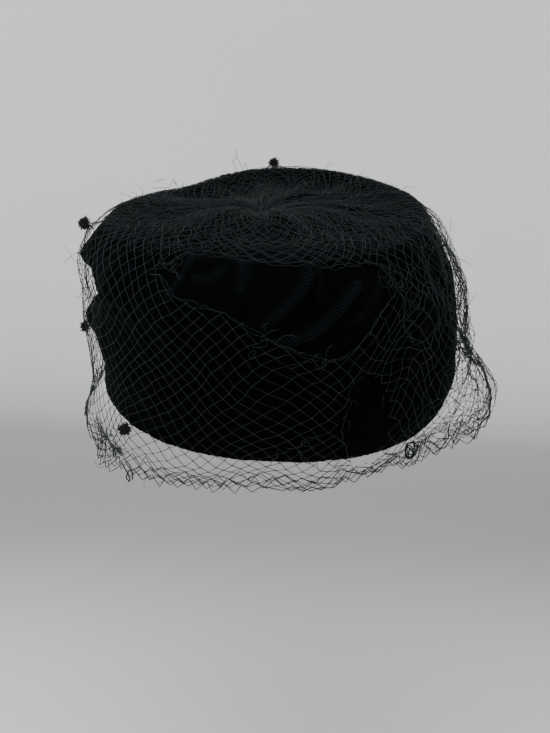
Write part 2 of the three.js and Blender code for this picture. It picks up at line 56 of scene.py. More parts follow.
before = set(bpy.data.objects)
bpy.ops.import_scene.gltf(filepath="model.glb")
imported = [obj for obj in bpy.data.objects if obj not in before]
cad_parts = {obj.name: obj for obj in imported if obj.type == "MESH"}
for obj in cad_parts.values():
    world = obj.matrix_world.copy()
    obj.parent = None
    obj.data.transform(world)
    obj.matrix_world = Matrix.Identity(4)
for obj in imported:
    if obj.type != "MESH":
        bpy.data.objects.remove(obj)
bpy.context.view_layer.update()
BODY = "root"
MM = 0.001
SQUARE_MM_A_SQUARE_METRE = 1e6

# The rim round the head opening, and how squarely it bends.
RIM_HALF_WIDTH = 91
RIM_HALF_DEPTH = 100
RIM_SQUARENESS = 2.25
RIM_RADIUS = (RIM_HALF_WIDTH + RIM_HALF_DEPTH) / 2
# The velvet's wall, the turned hem, and how high in the low roll its belly lies.
VELVET_WALL = 2.6
HEM_WALL = 5
HEM_HEIGHT = 13
BELLY_SHARE = 0.42
# How much wider the grooves are on the inner face, so that the wall stays whole.
GROOVE_WIDENING = 1.4
# The seam: the side's lip, the gap beside it, and how far out and down the crown reaches under the lip.
SEAM_LIP = 5
SEAM_GAP = 0.35
SEAM_ALLOWANCE = 6
SEAM_DEPTH = 2

# The side seen in section, a row for each eighth of the way round, as distances outside the rim and heights.
Section = namedtuple(
    "Section", "belly low_z low waist_z waist high_z high shoulder_z shoulder edge_z edge tuck"
)
SECTIONS = (
    Section(3, 20, 5, 48, 3.5, 72, 2.5, 90, -3.5, 97.5, -10, 1.5),
    Section(3, 18, 5, 50, 2, 70, -0.5, 89, -9.5, 97.5, -17, 2),
    Section(3, 15, 5, 52, 1.5, 66, -1.5, 84, -12, 94, -20, 3),
    Section(2.5, 18, 4, 47, 1, 64, -0.5, 80, -9, 90.5, -19, 4.5),
    Section(3, 20, 5, 42, 2.5, 61, 4, 79, -4, 88.5, -14, 5),
    Section(3, 19, 6, 35, 1, 52, 6, 71, -3, 81.5, -15, 3.5),
    Section(-0.5, 31, 5, 48, 1, 65, 6.5, 81, 1.5, 88.5, -10.5, 2.5),
    Section(1, 30, 3, 52, 1.5, 71, 4, 88, -2, 96, -9, 2),
)

# Broad folds of the side: ridges, or grooves below 0, from one angle and height to another.
Fold = namedtuple("Fold", "from_angle from_z to_angle to_z width height")
SIDE_FOLDS = (
    Fold(284, 59, 246, 35, 6.5, -7.5),
    Fold(280, 72, 256, 58, 8, 4.5),
    Fold(276, 35, 250, 22, 9, 5.5),
    Fold(8, 94, 6, 89, 5, 2.4),
    Fold(5, 87, -3, 68, 5, 2.6),
    Fold(23, 88, 3, 64, 5, 2.4),
    Fold(31, 88, 21, 74, 5, 2),
    Fold(-26, 93, -29, 74, 6, 1.8),
    Fold(-8, 93, -9, 80, 5, 1.6),
    Fold(52, 86, 34, 44, 7, 1.6),
    Fold(76, 84, 58, 36, 7, 1.6),
    Fold(112, 80, 92, 30, 8, 1.8),
    Fold(158, 80, 136, 26, 8, 1.8),
    Fold(202, 80, 184, 24, 8, 1.8),
    Fold(236, 74, 224, 44, 8, 1.6),
    Fold(308, 84, 300, 60, 7, 1.6),
)

# Sharp pleats on the bare velvet at the back, each a crest with a crease beside it, run through places.
# The third column says how strongly a painted highlight lies along a pleat's ridge, broken into the short
# marks of its gathering stitches.
Pleat = namedtuple("Pleat", "width height stitched places")
PLEATS = (
    Pleat(1.5, 1.9, 0.8, ((7, 96), (7, 92), (3, 83), (-2, 72))),
    Pleat(1.7, 2.0, 1, ((21, 88), (14, 78), (7, 69), (1, 65))),
    Pleat(1.7, 1.3, 0.5, ((30, 88), (22, 77), (16, 71))),
    Pleat(1.6, 1.3, 1, ((-24, 96), (-25, 89), (-28, 80))),
    Pleat(1.5, 1.4, 0.9, ((-9, 97), (-7, 92), (-8, 86))),
    Pleat(1.8, 0.9, 0.7, ((-14, 92), (-18, 88), (-22, 88))),
    Pleat(1.4, 0.9, 0.6, ((10, 94), (10, 83))),
    Pleat(1.8, 0.8, 0.35, ((27, 76), (18, 66), (9, 60))),
    Pleat(2.2, -1.8, 0, ((-70, 56), (-58, 58), (-46, 62))),
    Pleat(1.6, 0.9, 0.3, ((-44, 90), (-47, 78), (-54, 66))),
    Pleat(1.7, 0.9, 0.3, ((46, 84), (38, 66), (30, 48))),
)

# How many stitch marks a millimetre of pleat breaks its painted highlight into.
STITCHES_PER_MM = 0.62

# The crown's pinch, its rise and its folds: broad ones, then ridges that curl as they run out to the edge.
PINCH = (-10, -1, 86.5)
CROWN_LIFT = 4
CROWN_EDGE_DIP = 0.5
Fan = namedtuple("Fan", "angle width height start end")
CROWN_FOLDS = (
    Fan(8, 7, 3, 0.1, 0.75),
    Fan(52, 13, 2.2, 0.15, 0.9),
    Fan(84, 10, 2.6, 0.15, 0.95),
    Fan(112, 9, 2.4, 0.12, 0.95),
    Fan(136, 8, 2.8, 0.1, 0.95),
    Fan(160, 8, 2.6, 0.1, 0.95),
    Fan(186, 9, 2.4, 0.1, 0.9),
    Fan(214, 10, 2.4, 0.12, 0.95),
    Fan(262, 26, 4.5, 0.05, 1),
    Fan(318, 15, 2.8, 0.12, 0.9),
)
Ridge = namedtuple("Ridge", "angle curl width height start end")
CROWN_RIDGES = (
    Ridge(-6, 3, 2.6, 1.7, 0.2, 0.95),
    Ridge(2, 2, 2.2, -1.5, 0.25, 0.95),
    Ridge(13, 4, 3, 1.3, 0.25, 0.95),
    Ridge(28, 6, 3.2, 1.1, 0.3, 0.95),
    Ridge(62, 14, 2.6, 1.3, 0.12, 0.95),
    Ridge(74, 12, 2.4, 1.4, 0.1, 0.9),
    Ridge(88, 8, 2.6, 1.3, 0.1, 0.95),
    Ridge(101, 2, 2.4, 1.3, 0.12, 0.95),
    Ridge(120, -10, 2.6, 1.5, 0.08, 0.9),
    Ridge(138, -14, 2.4, 1.5, 0.08, 0.9),
    Ridge(156, -16, 2.4, 1.5, 0.08, 0.95),
    Ridge(173, -12, 2.6, 1.3, 0.1, 0.95),
    Ridge(196, -8, 3, 1.1, 0.12, 0.95),
    Ridge(222, -4, 3, 1, 0.15, 0.95),
    Ridge(244, 2, 3.4, 0.9, 0.15, 0.95),
    Ridge(276, 4, 3.4, 0.9, 0.15, 0.95),
    Ridge(298, 4, 3.2, 1, 0.15, 0.95),
    Ridge(324, 2, 3, 1.1, 0.2, 0.95),
    Ridge(341, 0, 2.8, 1.2, 0.25, 0.95),
)

# How the net hangs, a row for each eighth of the way round: its drop below the rim, its flare at the hem
# and its puff at the height of the rim.
Hang = namedtuple("Hang", "drop flare puff")
VEIL_HANG = (
    Hang(12, 4, 0),
    Hang(10.5, 3, 0),
    Hang(11, 28, 8),
    Hang(13, 13, 3),
    Hang(15, 7, 1),
    Hang(15, 6, 0),
    Hang(14, 6, 0),
    Hang(18, 12, 0),
)
# How far from the pinch to the crown's edge the net's gather starts, as a share.
VEIL_START = 0.03
# How much of the puff is already there at the low roll.
LOW_PUFF_SHARE = 0.8
# At the back, how far along the net the crown's edge lies, and the net's length in millimetres.
BACK_EDGE = 0.415
NET_LENGTH = 208

# The eye-shaped opening at the back, where the net's two ends part, by angle.
# Its upper and lower border are given as distances down the net from the crown's edge.
Border = namedtuple("Border", "angle upper lower")
EYE = (
    Border(-37, 17, 17),
    Border(-32, 13.5, 18),
    Border(-29, 8.5, 20.5),
    Border(-25, 3, 25.5),
    Border(-20, 0.8, 26.4),
    Border(-13, 1.6, 28),
    Border(-7, 3.8, 32.5),
    Border(0, 6, 40),
    Border(6, 6.5, 47.5),
    Border(13, 8.3, 49.5),
    Border(18, 8.2, 46.5),
    Border(23, 8.8, 38),
    Border(28, 9.3, 30),
    Border(32, 12, 26),
    Border(36, 19, 19),
)
# The narrow gap below it, as far down the net: its left and right border.
Side = namedtuple("Side", "down left right")
GAP = (
    Side(60, 21, 21),
    Side(64, 17.5, 24.5),
    Side(73, 18.5, 28),
    Side(83, 16.5, 30),
    Side(95, 18, 30.5),
    Side(105, 20, 29),
    Side(112, 22, 27),
    Side(116, 24.5, 24.5),
)
# How far the net is drawn aside there rather than cut away, and over which distance that fades.
EYE_DRAWN = 0.45
EYE_PULL = 46
GAP_DRAWN = 0.4
GAP_PULL = 16

# The threads that edge the eye: 0 for its upper border and 1 for its lower one, and their shift downwards.
EyeThread = namedtuple("EyeThread", "border shift seed")
EYE_THREADS = (EyeThread(0, -1.2, 1), EyeThread(0, 0.2, 2), EyeThread(1, 0, 3), EyeThread(1, 1.1, 4))
# The thread that edges the gap on its left, and its shift to the right.
GAP_THREAD_SHIFT = -0.6
GAP_THREAD_SEED = 7
# The threads that edge the hem: how far along the veil, the height of their waves and their turn.
HemThread = namedtuple("HemThread", "along wave turned seed")
HEM_THREADS = (
    HemThread(0.988, 2.3, 0, 1),
    HemThread(0.979, 2.2, 2.6, 2),
    HemThread(0.968, 2.1, 1.1, 3),
    HemThread(0.957, 2, 3.7, 5),
)

# Places where the net is rucked: turned by an angle, and squeezed sideways to a share of its width.
Ruck = namedtuple("Ruck", "angle down reach turned width height")
RUCKS = (
    Ruck(27, 61, 21, 38, 1, 1),
    Ruck(52, 34, 30, -6, 0.5, 1.25),
    Ruck(70, 60, 26, 20, 0.7, 1.1),
    Ruck(44, 92, 18, -22, 0.8, 0.9),
    Ruck(95, 84, 30, 24, 0.75, 1),
    Ruck(-4, 62, 20, 12, 1, 1),
    Ruck(-22, 78, 30, -8, 1, 1),
    Ruck(6, 98, 20, -14, 0.9, 1),
    Ruck(-46, 106, 16, 26, 0.8, 0.9),
    Ruck(-100, 60, 30, 14, 0.85, 1),
    Ruck(150, 70, 36, -12, 0.9, 1),
    Ruck(210, 50, 34, 12, 0.9, 1),
)

# Where the net is unruly: round an angle on the right side, and from where along it.
UNRULY_ANGLE = 66
UNRULY_WIDTH = 36
UNRULY_START = (0.36, 0.46)
# Where it stops being heaped, as it is on the crown.
HEAPED_END = (0.3, 0.44)
# How far fields of noise of a size push the net about where it lies evenly, and how much further where it is
# unruly or heaped: first along the surface, then away from it.
Disorder = namedtuple("Disorder", "size even unruly heaped seed")
DRIFTS = (
    Disorder(40, 2.6, 0, 0, 11),
    Disorder(15, 0.8, 2.4, 2.6, 21),
    Disorder(5, 0.5, 1.5, 2, 31),
    Disorder(1.9, 0, 0.9, 1.3, 36),
)
LIFTS = (Disorder(17, 0.7, 2.2, -0.4, 41), Disorder(5, 0.25, 1, 0, 42))
# How far the net sways in and out below the rim.
HEM_SWAY = 3.4
# How far the net's lattice is turned round the hat.
NET_TURNED = -13
# How far off the velvet the net, its edges and its further folds lie, and the least distance of a thread.
NET_LIFT = 2.4
EDGE_LIFT = 2.6
GATHER_LIFT = 2.8
THREAD_CLEARANCE = 0.45
# How far from the velvet a thread may be for its distance to be looked up.
CLEARANCE_REACH = 12

# The further folds of net: two gathered over the crown, and one rucked up on the right side.
# first and last say from where to where along the veil they reach, left and right between which angles.
Layer = namedtuple("Layer", "columns rows first last left right turned lift seed")
CROWN_LAYERS = (
    Layer(62, 21, 0, 0.44, -180, 180, 4, 0.2, 60),
    Layer(48, 19, 0, 0.43, -180, 180, 9, 0.5, 90),
)
SIDE_LAYERS = (Layer(88, 56, 0.41, 1, 58, 118, 3, 1.2, 130),)

# Creases where the net is bunched: their places by angle and along, and the count, the spread and the
# distance out of their threads. To space a crease's steps evenly, the veil counts as CREASE_LENGTH long.
CREASE_LENGTH = 200
CREASE_STEPS = 60
Crease = namedtuple("Crease", "places count spread out")
CREASES = (
    Crease(((88, 0.42), (85, 0.52), (82, 0.64), (79, 0.74), (81, 0.82), (80, 0.88), (75, 0.93)), 3, 1.8, 0.5),
    Crease(((94, 0.8), (90, 0.88), (84, 0.94), (78, 0.975)), 2, 1.6, 0),
    Crease(((32, 0.935), (37, 0.955), (42, 0.97), (44, 0.95), (52, 0.93)), 3, 1.4, 1.5),
    Crease(((44, 0.93), (52, 0.925), (60, 0.94), (72, 0.94)), 2, 2, 1),
    Crease(((-60, 0.92), (-54, 0.93), (-48, 0.935), (-42, 0.945)), 6, 1.3, 1),
    Crease(((30, 0.47), (33, 0.52), (36, 0.56), (34, 0.6), (38, 0.66)), 3, 1.4, 0.5),
)

# The net's last rows, pushed together over the hem, and the waves of its selvedge.
HEM_WAVES = 70
HEM_ROWS = 6
HEM_BAND = 0.055
HEM_END = 0.984

# Single threads that stand away from the net.
# lean turns them from straight down (0) to the right (90), and rise is their slope away from the hat.
LooseEnd = namedtuple("LooseEnd", "angle along length lean rise curl")
LOOSE_ENDS = (
    LooseEnd(263, 0.39, 15, 205, 0.8, -9),
    LooseEnd(258, 0.39, 9, 190, 0.9, -5),
    LooseEnd(268, 0.4, 7, 200, 0.9, 4),
    LooseEnd(247, 0.43, 9, 200, 1.2, -4),
    LooseEnd(274, 0.56, 12, 300, 0.8, 4),
    LooseEnd(272, 0.6, 15, 280, 0.7, -3),
    LooseEnd(278, 0.66, 8, 330, 0.9, 6),
    LooseEnd(84, 0.5, 14, 110, 1, 3),
    LooseEnd(92, 0.58, 12, 80, 1.2, -5),
    LooseEnd(88, 0.7, 13, 60, 0.9, 4),
    LooseEnd(97, 0.76, 10, 20, 0.9, -4),
    LooseEnd(60, 0.93, 12, 40, 0.6, 7),
    LooseEnd(54, 0.97, 11, 350, 0.5, -7),
    LooseEnd(66, 0.97, 9, 70, 0.6, 8),
    LooseEnd(328, 0.98, 8, 300, 0.6, 5),
    LooseEnd(312, 0.99, 10, 20, 0.4, -5),
    LooseEnd(160, 0.4, 12, 150, 1, 4),
    LooseEnd(202, 0.36, 14, 190, 1.3, -4),
    LooseEnd(140, 0.38, 10, 170, 1.1, 5),
    LooseEnd(118, 0.44, 11, 120, 0.9, -5),
)
# Loops of selvedge that have slipped out of the hem.
Loop = namedtuple("Loop", "angle along radius turns")
HEM_LOOPS = (
    Loop(42.5, 0.955, 3.3, 1.9),
    Loop(42, 0.96, 2.7, 1.6),
    Loop(43, 0.951, 3, 1.3),
    Loop(322, 0.99, 2.4, 1.3),
)

# The corners of net that stand up over the crown's edge: angular threads, by distance aside and upwards,
# and how much the upward distances are stretched.
CORNER_STRETCH = 1.12
CORNER_ANGLE = 196
CORNER_THREADS = (
    ((-7.8, 10.4), (-6.2, 9.2), (-5.1, 7.1), (0.8, 2.1), (4, 5.9), (7.8, 0.6)),
    ((-10.5, 2.1), (-5.1, 7.1)),
    ((-9.2, 4.4), (-5.2, -0.4)),
    ((0.8, 2.1), (2.4, -1)),
    ((11.6, 2.5), (16.9, 5.3), (19.1, 3.5), (20.6, 0.6)),
    ((12.8, 4.4), (12.4, 1)),
)
SIDE_CORNER_ANGLE = 230
SIDE_CORNER_THREADS = (
    ((-14, 2), (-7, 4.4)),
    ((-15, -1.5), (-4, 0.5), (-1.5, 4.5), (1.5, 1.4)),
    ((3.5, 1), (5.4, 4.2)),
    ((10, 1.2), (13.4, 3.6), (19, 3.4)),
    ((-2, 5), (0.4, 3)),
)

# Short cut ends: how many stand out between two angles and between two places along the veil, and how
# many at the gap.
Fray = namedtuple("Fray", "count left right first last")
FRAYS = (
    Fray(70, 0, 360, 0.93, 0.99),
    Fray(40, 45, 115, 0.45, 0.95),
    Fray(46, 0, 360, 0.36, 0.46),
)
GAP_FRAYS = 14

# Threads that lie in a tangle on the net: the middle, the spread, how many and how long.
Tangle = namedtuple("Tangle", "angle along spread count length")
TANGLES = (
    Tangle(-50, 0.93, 5, 14, 11),
    Tangle(-45, 0.942, 2.2, 14, 5),
    Tangle(46, 0.95, 4, 7, 8),
    Tangle(58, 0.94, 9, 12, 11),
    Tangle(72, 0.95, 8, 8, 11),
    Tangle(33, 0.5, 6, 10, 12),
    Tangle(40, 0.57, 8, 12, 15),
    Tangle(-31, 0.45, 6, 7, 9),
    Tangle(-2, 0.62, 5, 7, 9),
    Tangle(10, 0.66, 5, 6, 8),
    Tangle(4, 0.86, 8, 5, 12),
)

VEIL_DOTS = sorted(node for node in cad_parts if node.startswith("veil_dot"))
# How far round a dot the net is drawn out to it, how deep in the dot it then lies, and from how far away
# the net isn't the dot's own.
DOT_REACH = 9
DOT_DEPTH = 1.5
DOT_FAR = 12

# The stage, in metres and watts: the paper that sweeps up into a wall, and large soft lights.
PAPER_HALF_WIDTH = 3.0
PAPER_FRONT = -3.0
PAPER_HEIGHT = 2.4
PAPER_COVE = 0.06
PAPER_COVE_STEPS = 12
Light = namedtuple("Light", "name place size power")
LIGHTS = (
    Light("overhead", (-0.25, 0.05, 1.5), 1.3, 20),
    Light("left_window", (-1.5, -0.5, 1.1), 1.2, 12),
    Light("right_fill", (1.3, -1.1, 0.9), 1.0, 5.5),
)
SURROUND_COLOUR = (0.9, 0.95, 1, 1)
SURROUND_POWER = 0.52
# The photograph's camera: its distance from a point in the rim, its angles, and its focal length and the
# photograph's height in pixels.
CAMERA_AIM = (0, 0, 0.001)
CAMERA_DISTANCE = 0.6
CAMERA_ELEVATION = 26.5
CAMERA_ROLL = 2.4
CAMERA_SENSOR = 36
FOCAL_PIXELS = 1086.4
PHOTO_PIXELS = 733

# Mesh density.
SIDE_SLICES = 480
SIDE_OUTER_STEPS = 110
SIDE_INNER_STEPS = 22
CROWN_SLICES = 400
CROWN_OUTER_STEPS = 84
CROWN_INNER_STEPS = 14


class VelvetSettings(bpy.types.PropertyGroup):
    """Sizes and colours of the velvet."""

    deep: FloatVectorProperty(
        name="Deep", description="Colour of the velvet where its pile stands up",
        subtype="COLOR", size=3, min=0, max=1, default=(0.0005, 0.0006, 0.0008),
    )
    bloom: FloatVectorProperty(
        name="Bloom", description="Colour of the velvet where its pile is brushed flat",
        subtype="COLOR", size=3, min=0, max=1, default=(0.0018, 0.0023, 0.0027),
    )
    # The colour of the painted highlight along the pleats' ridges.
    crest: FloatVectorProperty(
        name="Crest", description="Colour of the pile that stands open along the pleats",
        subtype="COLOR", size=3, min=0, max=1, default=(0.0075, 0.0096, 0.0105),
    )
    wrinkle_depth: FloatProperty(
        name="Wrinkle depth", description="How deep the small wrinkles are",
        unit="LENGTH", min=0, max=0.003, precision=5, default=0.0007,
    )
    wrinkle_size: FloatProperty(
        name="Wrinkle size", description="How far apart the small wrinkles are",
        unit="LENGTH", min=0.002, max=0.05, precision=5, default=0.011,
    )


class VeilSettings(bpy.types.PropertyGroup):
    """Sizes and colours of the net."""

    thread: FloatProperty(
        name="Thread", description="Diameter of the net's thread",
        unit="LENGTH", min=0.0001, max=0.001, precision=5, default=0.00031,
    )
    selvedge: FloatProperty(
        name="Selvedge", description="Diameter of the threads along the hem",
        unit="LENGTH", min=0.0001, max=0.002, precision=5, default=0.00044,
    )
    knot: FloatProperty(
        name="Knot", description="Diameter of a knot",
        unit="LENGTH", min=0.0001, max=0.002, precision=5, default=0.0007,
    )
    columns: IntProperty(
        name="Columns", description="Meshes of the net round the hat", min=20, max=120, default=82,
    )
    rows: IntProperty(
        name="Rows", description="Half meshes from the gather to the hem", min=10, max=80, default=58,
    )
    colour: FloatVectorProperty(
        name="Thread colour", description="Colour of the net's thread",
        subtype="COLOR", size=3, min=0, max=1, default=(0.0036, 0.0049, 0.0053),
    )


class DotSettings(bpy.types.PropertyGroup):
    """Sizes and colours of the chenille dots."""

    bristle: FloatProperty(
        name="Bristle", description="Length of a bristle",
        unit="LENGTH", min=0.0005, max=0.005, precision=5, default=0.0021,
    )
    bristles: IntProperty(
        name="Bristles", description="How many bristles a square millimetre carries",
        min=1, max=20, default=3,
    )
    colour: FloatVectorProperty(
        name="Chenille colour", description="Colour of the chenille",
        subtype="COLOR", size=3, min=0, max=1, default=(0.006, 0.006, 0.007),
    )


class StageSettings(bpy.types.PropertyGroup):
    """Size and colour of the stage."""

    drop: FloatProperty(
        name="Drop", description="How far below the rim the floor lies",
        unit="LENGTH", min=0.05, max=2, default=0.3,
    )
    wall: FloatProperty(
        name="Wall", description="How far behind the hat the wall stands",
        unit="LENGTH", min=0.2, max=5, default=0.33,
    )
    colour: FloatVectorProperty(
        name="Paper colour", description="Colour of the floor and the wall",
        subtype="COLOR", size=3, min=0, max=1, default=(0.97, 0.965, 0.945),
    )


class Wire:
    """An output of a node, on which sums can be done."""

    def __init__(self, nodes, socket):
        self.nodes = nodes
        self.socket = socket

    def math(self, operation, first, second):
        """A Math node on two wires or numbers."""
        return self.nodes.add("ShaderNodeMath", {"operation": operation}, {0: first, 1: second})

    def __add__(self, other):
        return self.math("ADD", self, other)

    __radd__ = __add__

    def __sub__(self, other):
        return self.math("SUBTRACT", self, other)

    def __rsub__(self, other):
        return self.math("SUBTRACT", other, self)

    def __mul__(self, other):
        return self.math("MULTIPLY", self, other)

    __rmul__ = __mul__

    def __truediv__(self, other):
        return self.math("DIVIDE", self, other)

    def clipped(self):
        """The value held between 0 and 1."""
        return self.nodes.add("ShaderNodeClamp", None, {"Value": self})


class Nodes:
    """A tree of nodes, with one method that adds any of them."""

    def __init__(self, tree):
        self.tree = tree

    def add(self, kind, settings=None, inputs=None, output=0):
        """Adds a node, sets it up, fills its sockets with values or wires and gives back one output."""
        node = self.tree.nodes.new(kind)
        for name, value in (settings or {}).items():
            setattr(node, name, value)
        for name, value in (inputs or {}).items():
            if isinstance(value, Wire):
                self.tree.links.new(value.socket, node.inputs[name])
            else:
                node.inputs[name].default_value = value
        return Wire(self, node.outputs[output]) if node.outputs else node


def finish_nodes(name):
    """A new material and its empty tree of nodes."""
    material = bpy.data.materials.new(name)
    material.use_nodes = True
    material.node_tree.nodes.clear()
    return material, Nodes(material.node_tree)


def close_finish(nodes, shader):
    """Leads a shader to the material's output."""
    nodes.add("ShaderNodeOutputMaterial", None, {"Surface": shader})


def mix_colours(nodes, share, first, second):
    """A colour between two others."""
    inputs = {0: share, 6: colour(first), 7: colour(second)}
    return nodes.add("ShaderNodeMix", {"data_type": "RGBA"}, inputs, 2)


def colour(value):
    """A colour with its fourth number; a wire is left as it is."""
    return value if isinstance(value, Wire) else (*value, 1)


def noise_over(nodes, place, scale, detail, roughness):
    """Noise over a material's or a mesh's places."""
    inputs = {"Vector": place, "Scale": scale, "Detail": detail, "Roughness": roughness}
    return nodes.add("ShaderNodeTexNoise", None, inputs)


def velvet_finish(settings):
    """Deep black silk velvet: brushed patches, a fine pile, and a painted highlight along the pleats' ridges,
    broken into stitch marks.
    """
    material, nodes = finish_nodes("velvet_pile")
    place = nodes.add("ShaderNodeTexCoord", output="Object")
    crest, run = (
        nodes.add("ShaderNodeAttribute", {"attribute_name": name}, output="Fac") for name in ("crest", "run")
    )
    brushed = noise_over(nodes, place, 42, 4, 0.62)
    rubbed = noise_over(nodes, place, 310, 5, 0.7)
    pile = noise_over(nodes, place, 2300, 2, 0.6)
    specks = nodes.add("ShaderNodeTexVoronoi", None, {"Vector": place, "Scale": 210, "Randomness": 1})
    lint = ((0.07 - specks) * 30).clipped() * rubbed
    bloom = ((brushed * 0.9 + rubbed * 0.7 + pile * 0.5 - 0.62) * 1.3).clipped()
    base = mix_colours(nodes, bloom, settings.deep, settings.bloom)
    # A painted highlight along the pleats' ridges, broken into stitch marks and patchy with the rubbed noise;
    # it also raises the bump a little.
    stitches = nodes.add("ShaderNodeMath", {"operation": "SINE"}, {0: run * STITCHES_PER_MM * math.tau})
    painted_highlight = (crest * (0.45 + stitches * 0.45) * (rubbed * 1.6 + 0.1)).clipped()
    base = mix_colours(nodes, painted_highlight, base, settings.crest)
    base = mix_colours(nodes, lint * 0.3, base, (0.05, 0.054, 0.056))
    bump = nodes.add(
        "ShaderNodeBump", None,
        {"Height": rubbed * 0.5 + pile * 0.5 + painted_highlight * 0.6, "Strength": 0.4, "Distance": 0.0004},
    )
    shader = nodes.add(
        "ShaderNodeBsdfPrincipled", None,
        {
            "Base Color": base,
            "Roughness": 0.88 + brushed * 0.12,
            "Normal": bump,
            "Specular IOR Level": 0.018,
            "Sheen Weight": 0.018,
            "Sheen Roughness": 0.4,
            "Sheen Tint": (0.62, 0.74, 0.8, 1),
        },
    )
    close_finish(nodes, shader)
    return material


def thread_finish(settings):
    """Stiff black thread of the net, a little worn and dusty in places."""
    material, nodes = finish_nodes("net_thread")
    place = nodes.add("ShaderNodeTexCoord", output="Object")
    worn = noise_over(nodes, place, 60, 3, 0.6)
    twist = noise_over(nodes, place, 2600, 2, 0.6)
    pale = tuple(1.7 * part for part in settings.colour)
    base = mix_colours(nodes, ((worn - 0.35) * 2.2).clipped(), settings.colour, pale)
    bump = nodes.add("ShaderNodeBump", None, {"Height": twist, "Strength": 0.4, "Distance": 0.0001})
    shader = nodes.add(
        "ShaderNodeBsdfPrincipled", None,
        {
            "Base Color": base,
            "Roughness": 0.5 + worn * 0.2,
            "Normal": bump,
            "Specular IOR Level": 0.3,
            "Specular Tint": (0.8, 0.95, 1, 1),
        },
    )
    close_finish(nodes, shader)
    return material


def chenille_finish(settings):
    """Dull black chenille."""
    material, nodes = finish_nodes("chenille_tuft")
    place = nodes.add("ShaderNodeTexCoord", output="Object")
    tuft = noise_over(nodes, place, 900, 3, 0.6)
    pale = tuple(2.4 * part for part in settings.colour)
    shader = nodes.add(
        "ShaderNodeBsdfPrincipled", None,
        {
            "Base Color": mix_colours(nodes, tuft, settings.colour, pale),
            "Roughness": 0.8 + tuft * 0.2,
            "Specular IOR Level": 0.15,
            "Sheen Weight": 0.1,
            "Sheen Roughness": 0.4,
        },
    )
    close_finish(nodes, shader)
    return material


def paper_finish(settings):
    """Pale matt paper of the stage, a little darker on the floor, with painted shade where it bends up into
    the wall.
    """
    material, nodes = finish_nodes("stage_paper")
    place = nodes.add("ShaderNodeTexCoord", output="Object")
    back, height = (nodes.add("ShaderNodeSeparateXYZ", None, {"Vector": place}, axis) for axis in ("Y", "Z"))
    # Painted shade in the cove, darkest where the floor bends up into the wall.
    away, up = (back - settings.wall + 0.03) / 0.2, (height + settings.drop) / 0.09
    bend = nodes.add("ShaderNodeMath", {"operation": "EXPONENT"}, {0: (away * away + up * up) * -1})
    on_wall = ((height + settings.drop) / 0.08).clipped()
    floor, cove_shade_colour = (tuple(share * part for part in settings.colour) for share in (0.82, 0.38))
    base = mix_colours(nodes, on_wall, floor, settings.colour)
    shader = nodes.add(
        "ShaderNodeBsdfPrincipled", None,
        {"Base Color": mix_colours(nodes, bend, base, cove_shade_colour), "Roughness": 0.9},
    )
    close_finish(nodes, shader)
    return material


def new_tree(name, sockets):
    """A tree of geometry nodes with a geometry input, more inputs by name and kind, and a geometry output."""
    tree = bpy.data.node_groups.new(name, "GeometryNodeTree")
    tree.interface.new_socket("Geometry", in_out="INPUT", socket_type="NodeSocketGeometry")
    for label, kind in sockets:
        tree.interface.new_socket(label, in_out="INPUT", socket_type=kind)
    tree.interface.new_socket("Geometry", in_out="OUTPUT", socket_type="NodeSocketGeometry")
    nodes = Nodes(tree)
    entry = tree.nodes.new("NodeGroupInput")
    wires = {socket.name: Wire(nodes, socket) for socket in entry.outputs if socket.name}
    return nodes, wires


def close_tree(nodes, geometry, material):
    """Ends a tree in smooth shading, realized instances and a material."""
    smooth = nodes.add("GeometryNodeSetShadeSmooth", None, {"Geometry": geometry})
    real = nodes.add("GeometryNodeRealizeInstances", None, {"Geometry": smooth})
    dressed = nodes.add("GeometryNodeSetMaterial", None, {"Geometry": real, "Material": material})
    nodes.add("NodeGroupOutput", None, {0: dressed})
    return nodes.tree


def thread_tree():
    """Chains of edges become round threads, each point as thick as its girth."""
    nodes, wires = new_tree(
        "hat_threads", (("Sides", "NodeSocketInt"), ("Finish", "NodeSocketMaterial")),
    )
    chains = nodes.add("GeometryNodeMeshToCurve", None, {"Mesh": wires["Geometry"]})
    girth = nodes.add("GeometryNodeInputNamedAttribute", {"data_type": "FLOAT"}, {"Name": "girth"})
    ring = nodes.add(
        "GeometryNodeCurvePrimitiveCircle", None, {"Resolution": wires["Sides"], "Radius": 0.5},
    )
    tubes = nodes.add(
        "GeometryNodeCurveToMesh", None,
        {"Curve": chains, "Profile Curve": ring, "Scale": girth, "Fill Caps": True},
    )
    return close_tree(nodes, tubes, wires["Finish"])


def knot_tree():
    """A small round knot on every point, each turned and sized a little differently."""
    nodes, wires = new_tree(
        "hat_knots", (("Size", "NodeSocketFloat"), ("Finish", "NodeSocketMaterial")),
    )
    ball = nodes.add("GeometryNodeMeshIcoSphere", None, {"Radius": 0.5, "Subdivisions": 1})
    uneven = nodes.add(
        "FunctionNodeRandomValue", {"data_type": "FLOAT_VECTOR"},
        {0: (0.8, 0.8, 0.8), 1: (1.35, 1.15, 1.1), "Seed": 4},
    )
    turned = nodes.add(
        "FunctionNodeRandomValue", {"data_type": "FLOAT_VECTOR"},
        {0: (0, 0, 0), 1: (math.tau, math.tau, math.tau), "Seed": 5},
    )
    sized = nodes.add("ShaderNodeVectorMath", {"operation": "SCALE"}, {0: uneven, "Scale": wires["Size"]})
    knots = nodes.add(
        "GeometryNodeInstanceOnPoints", None,
        {"Points": wires["Geometry"], "Instance": ball, "Rotation": turned, "Scale": sized},
    )
    return close_tree(nodes, knots, wires["Finish"])


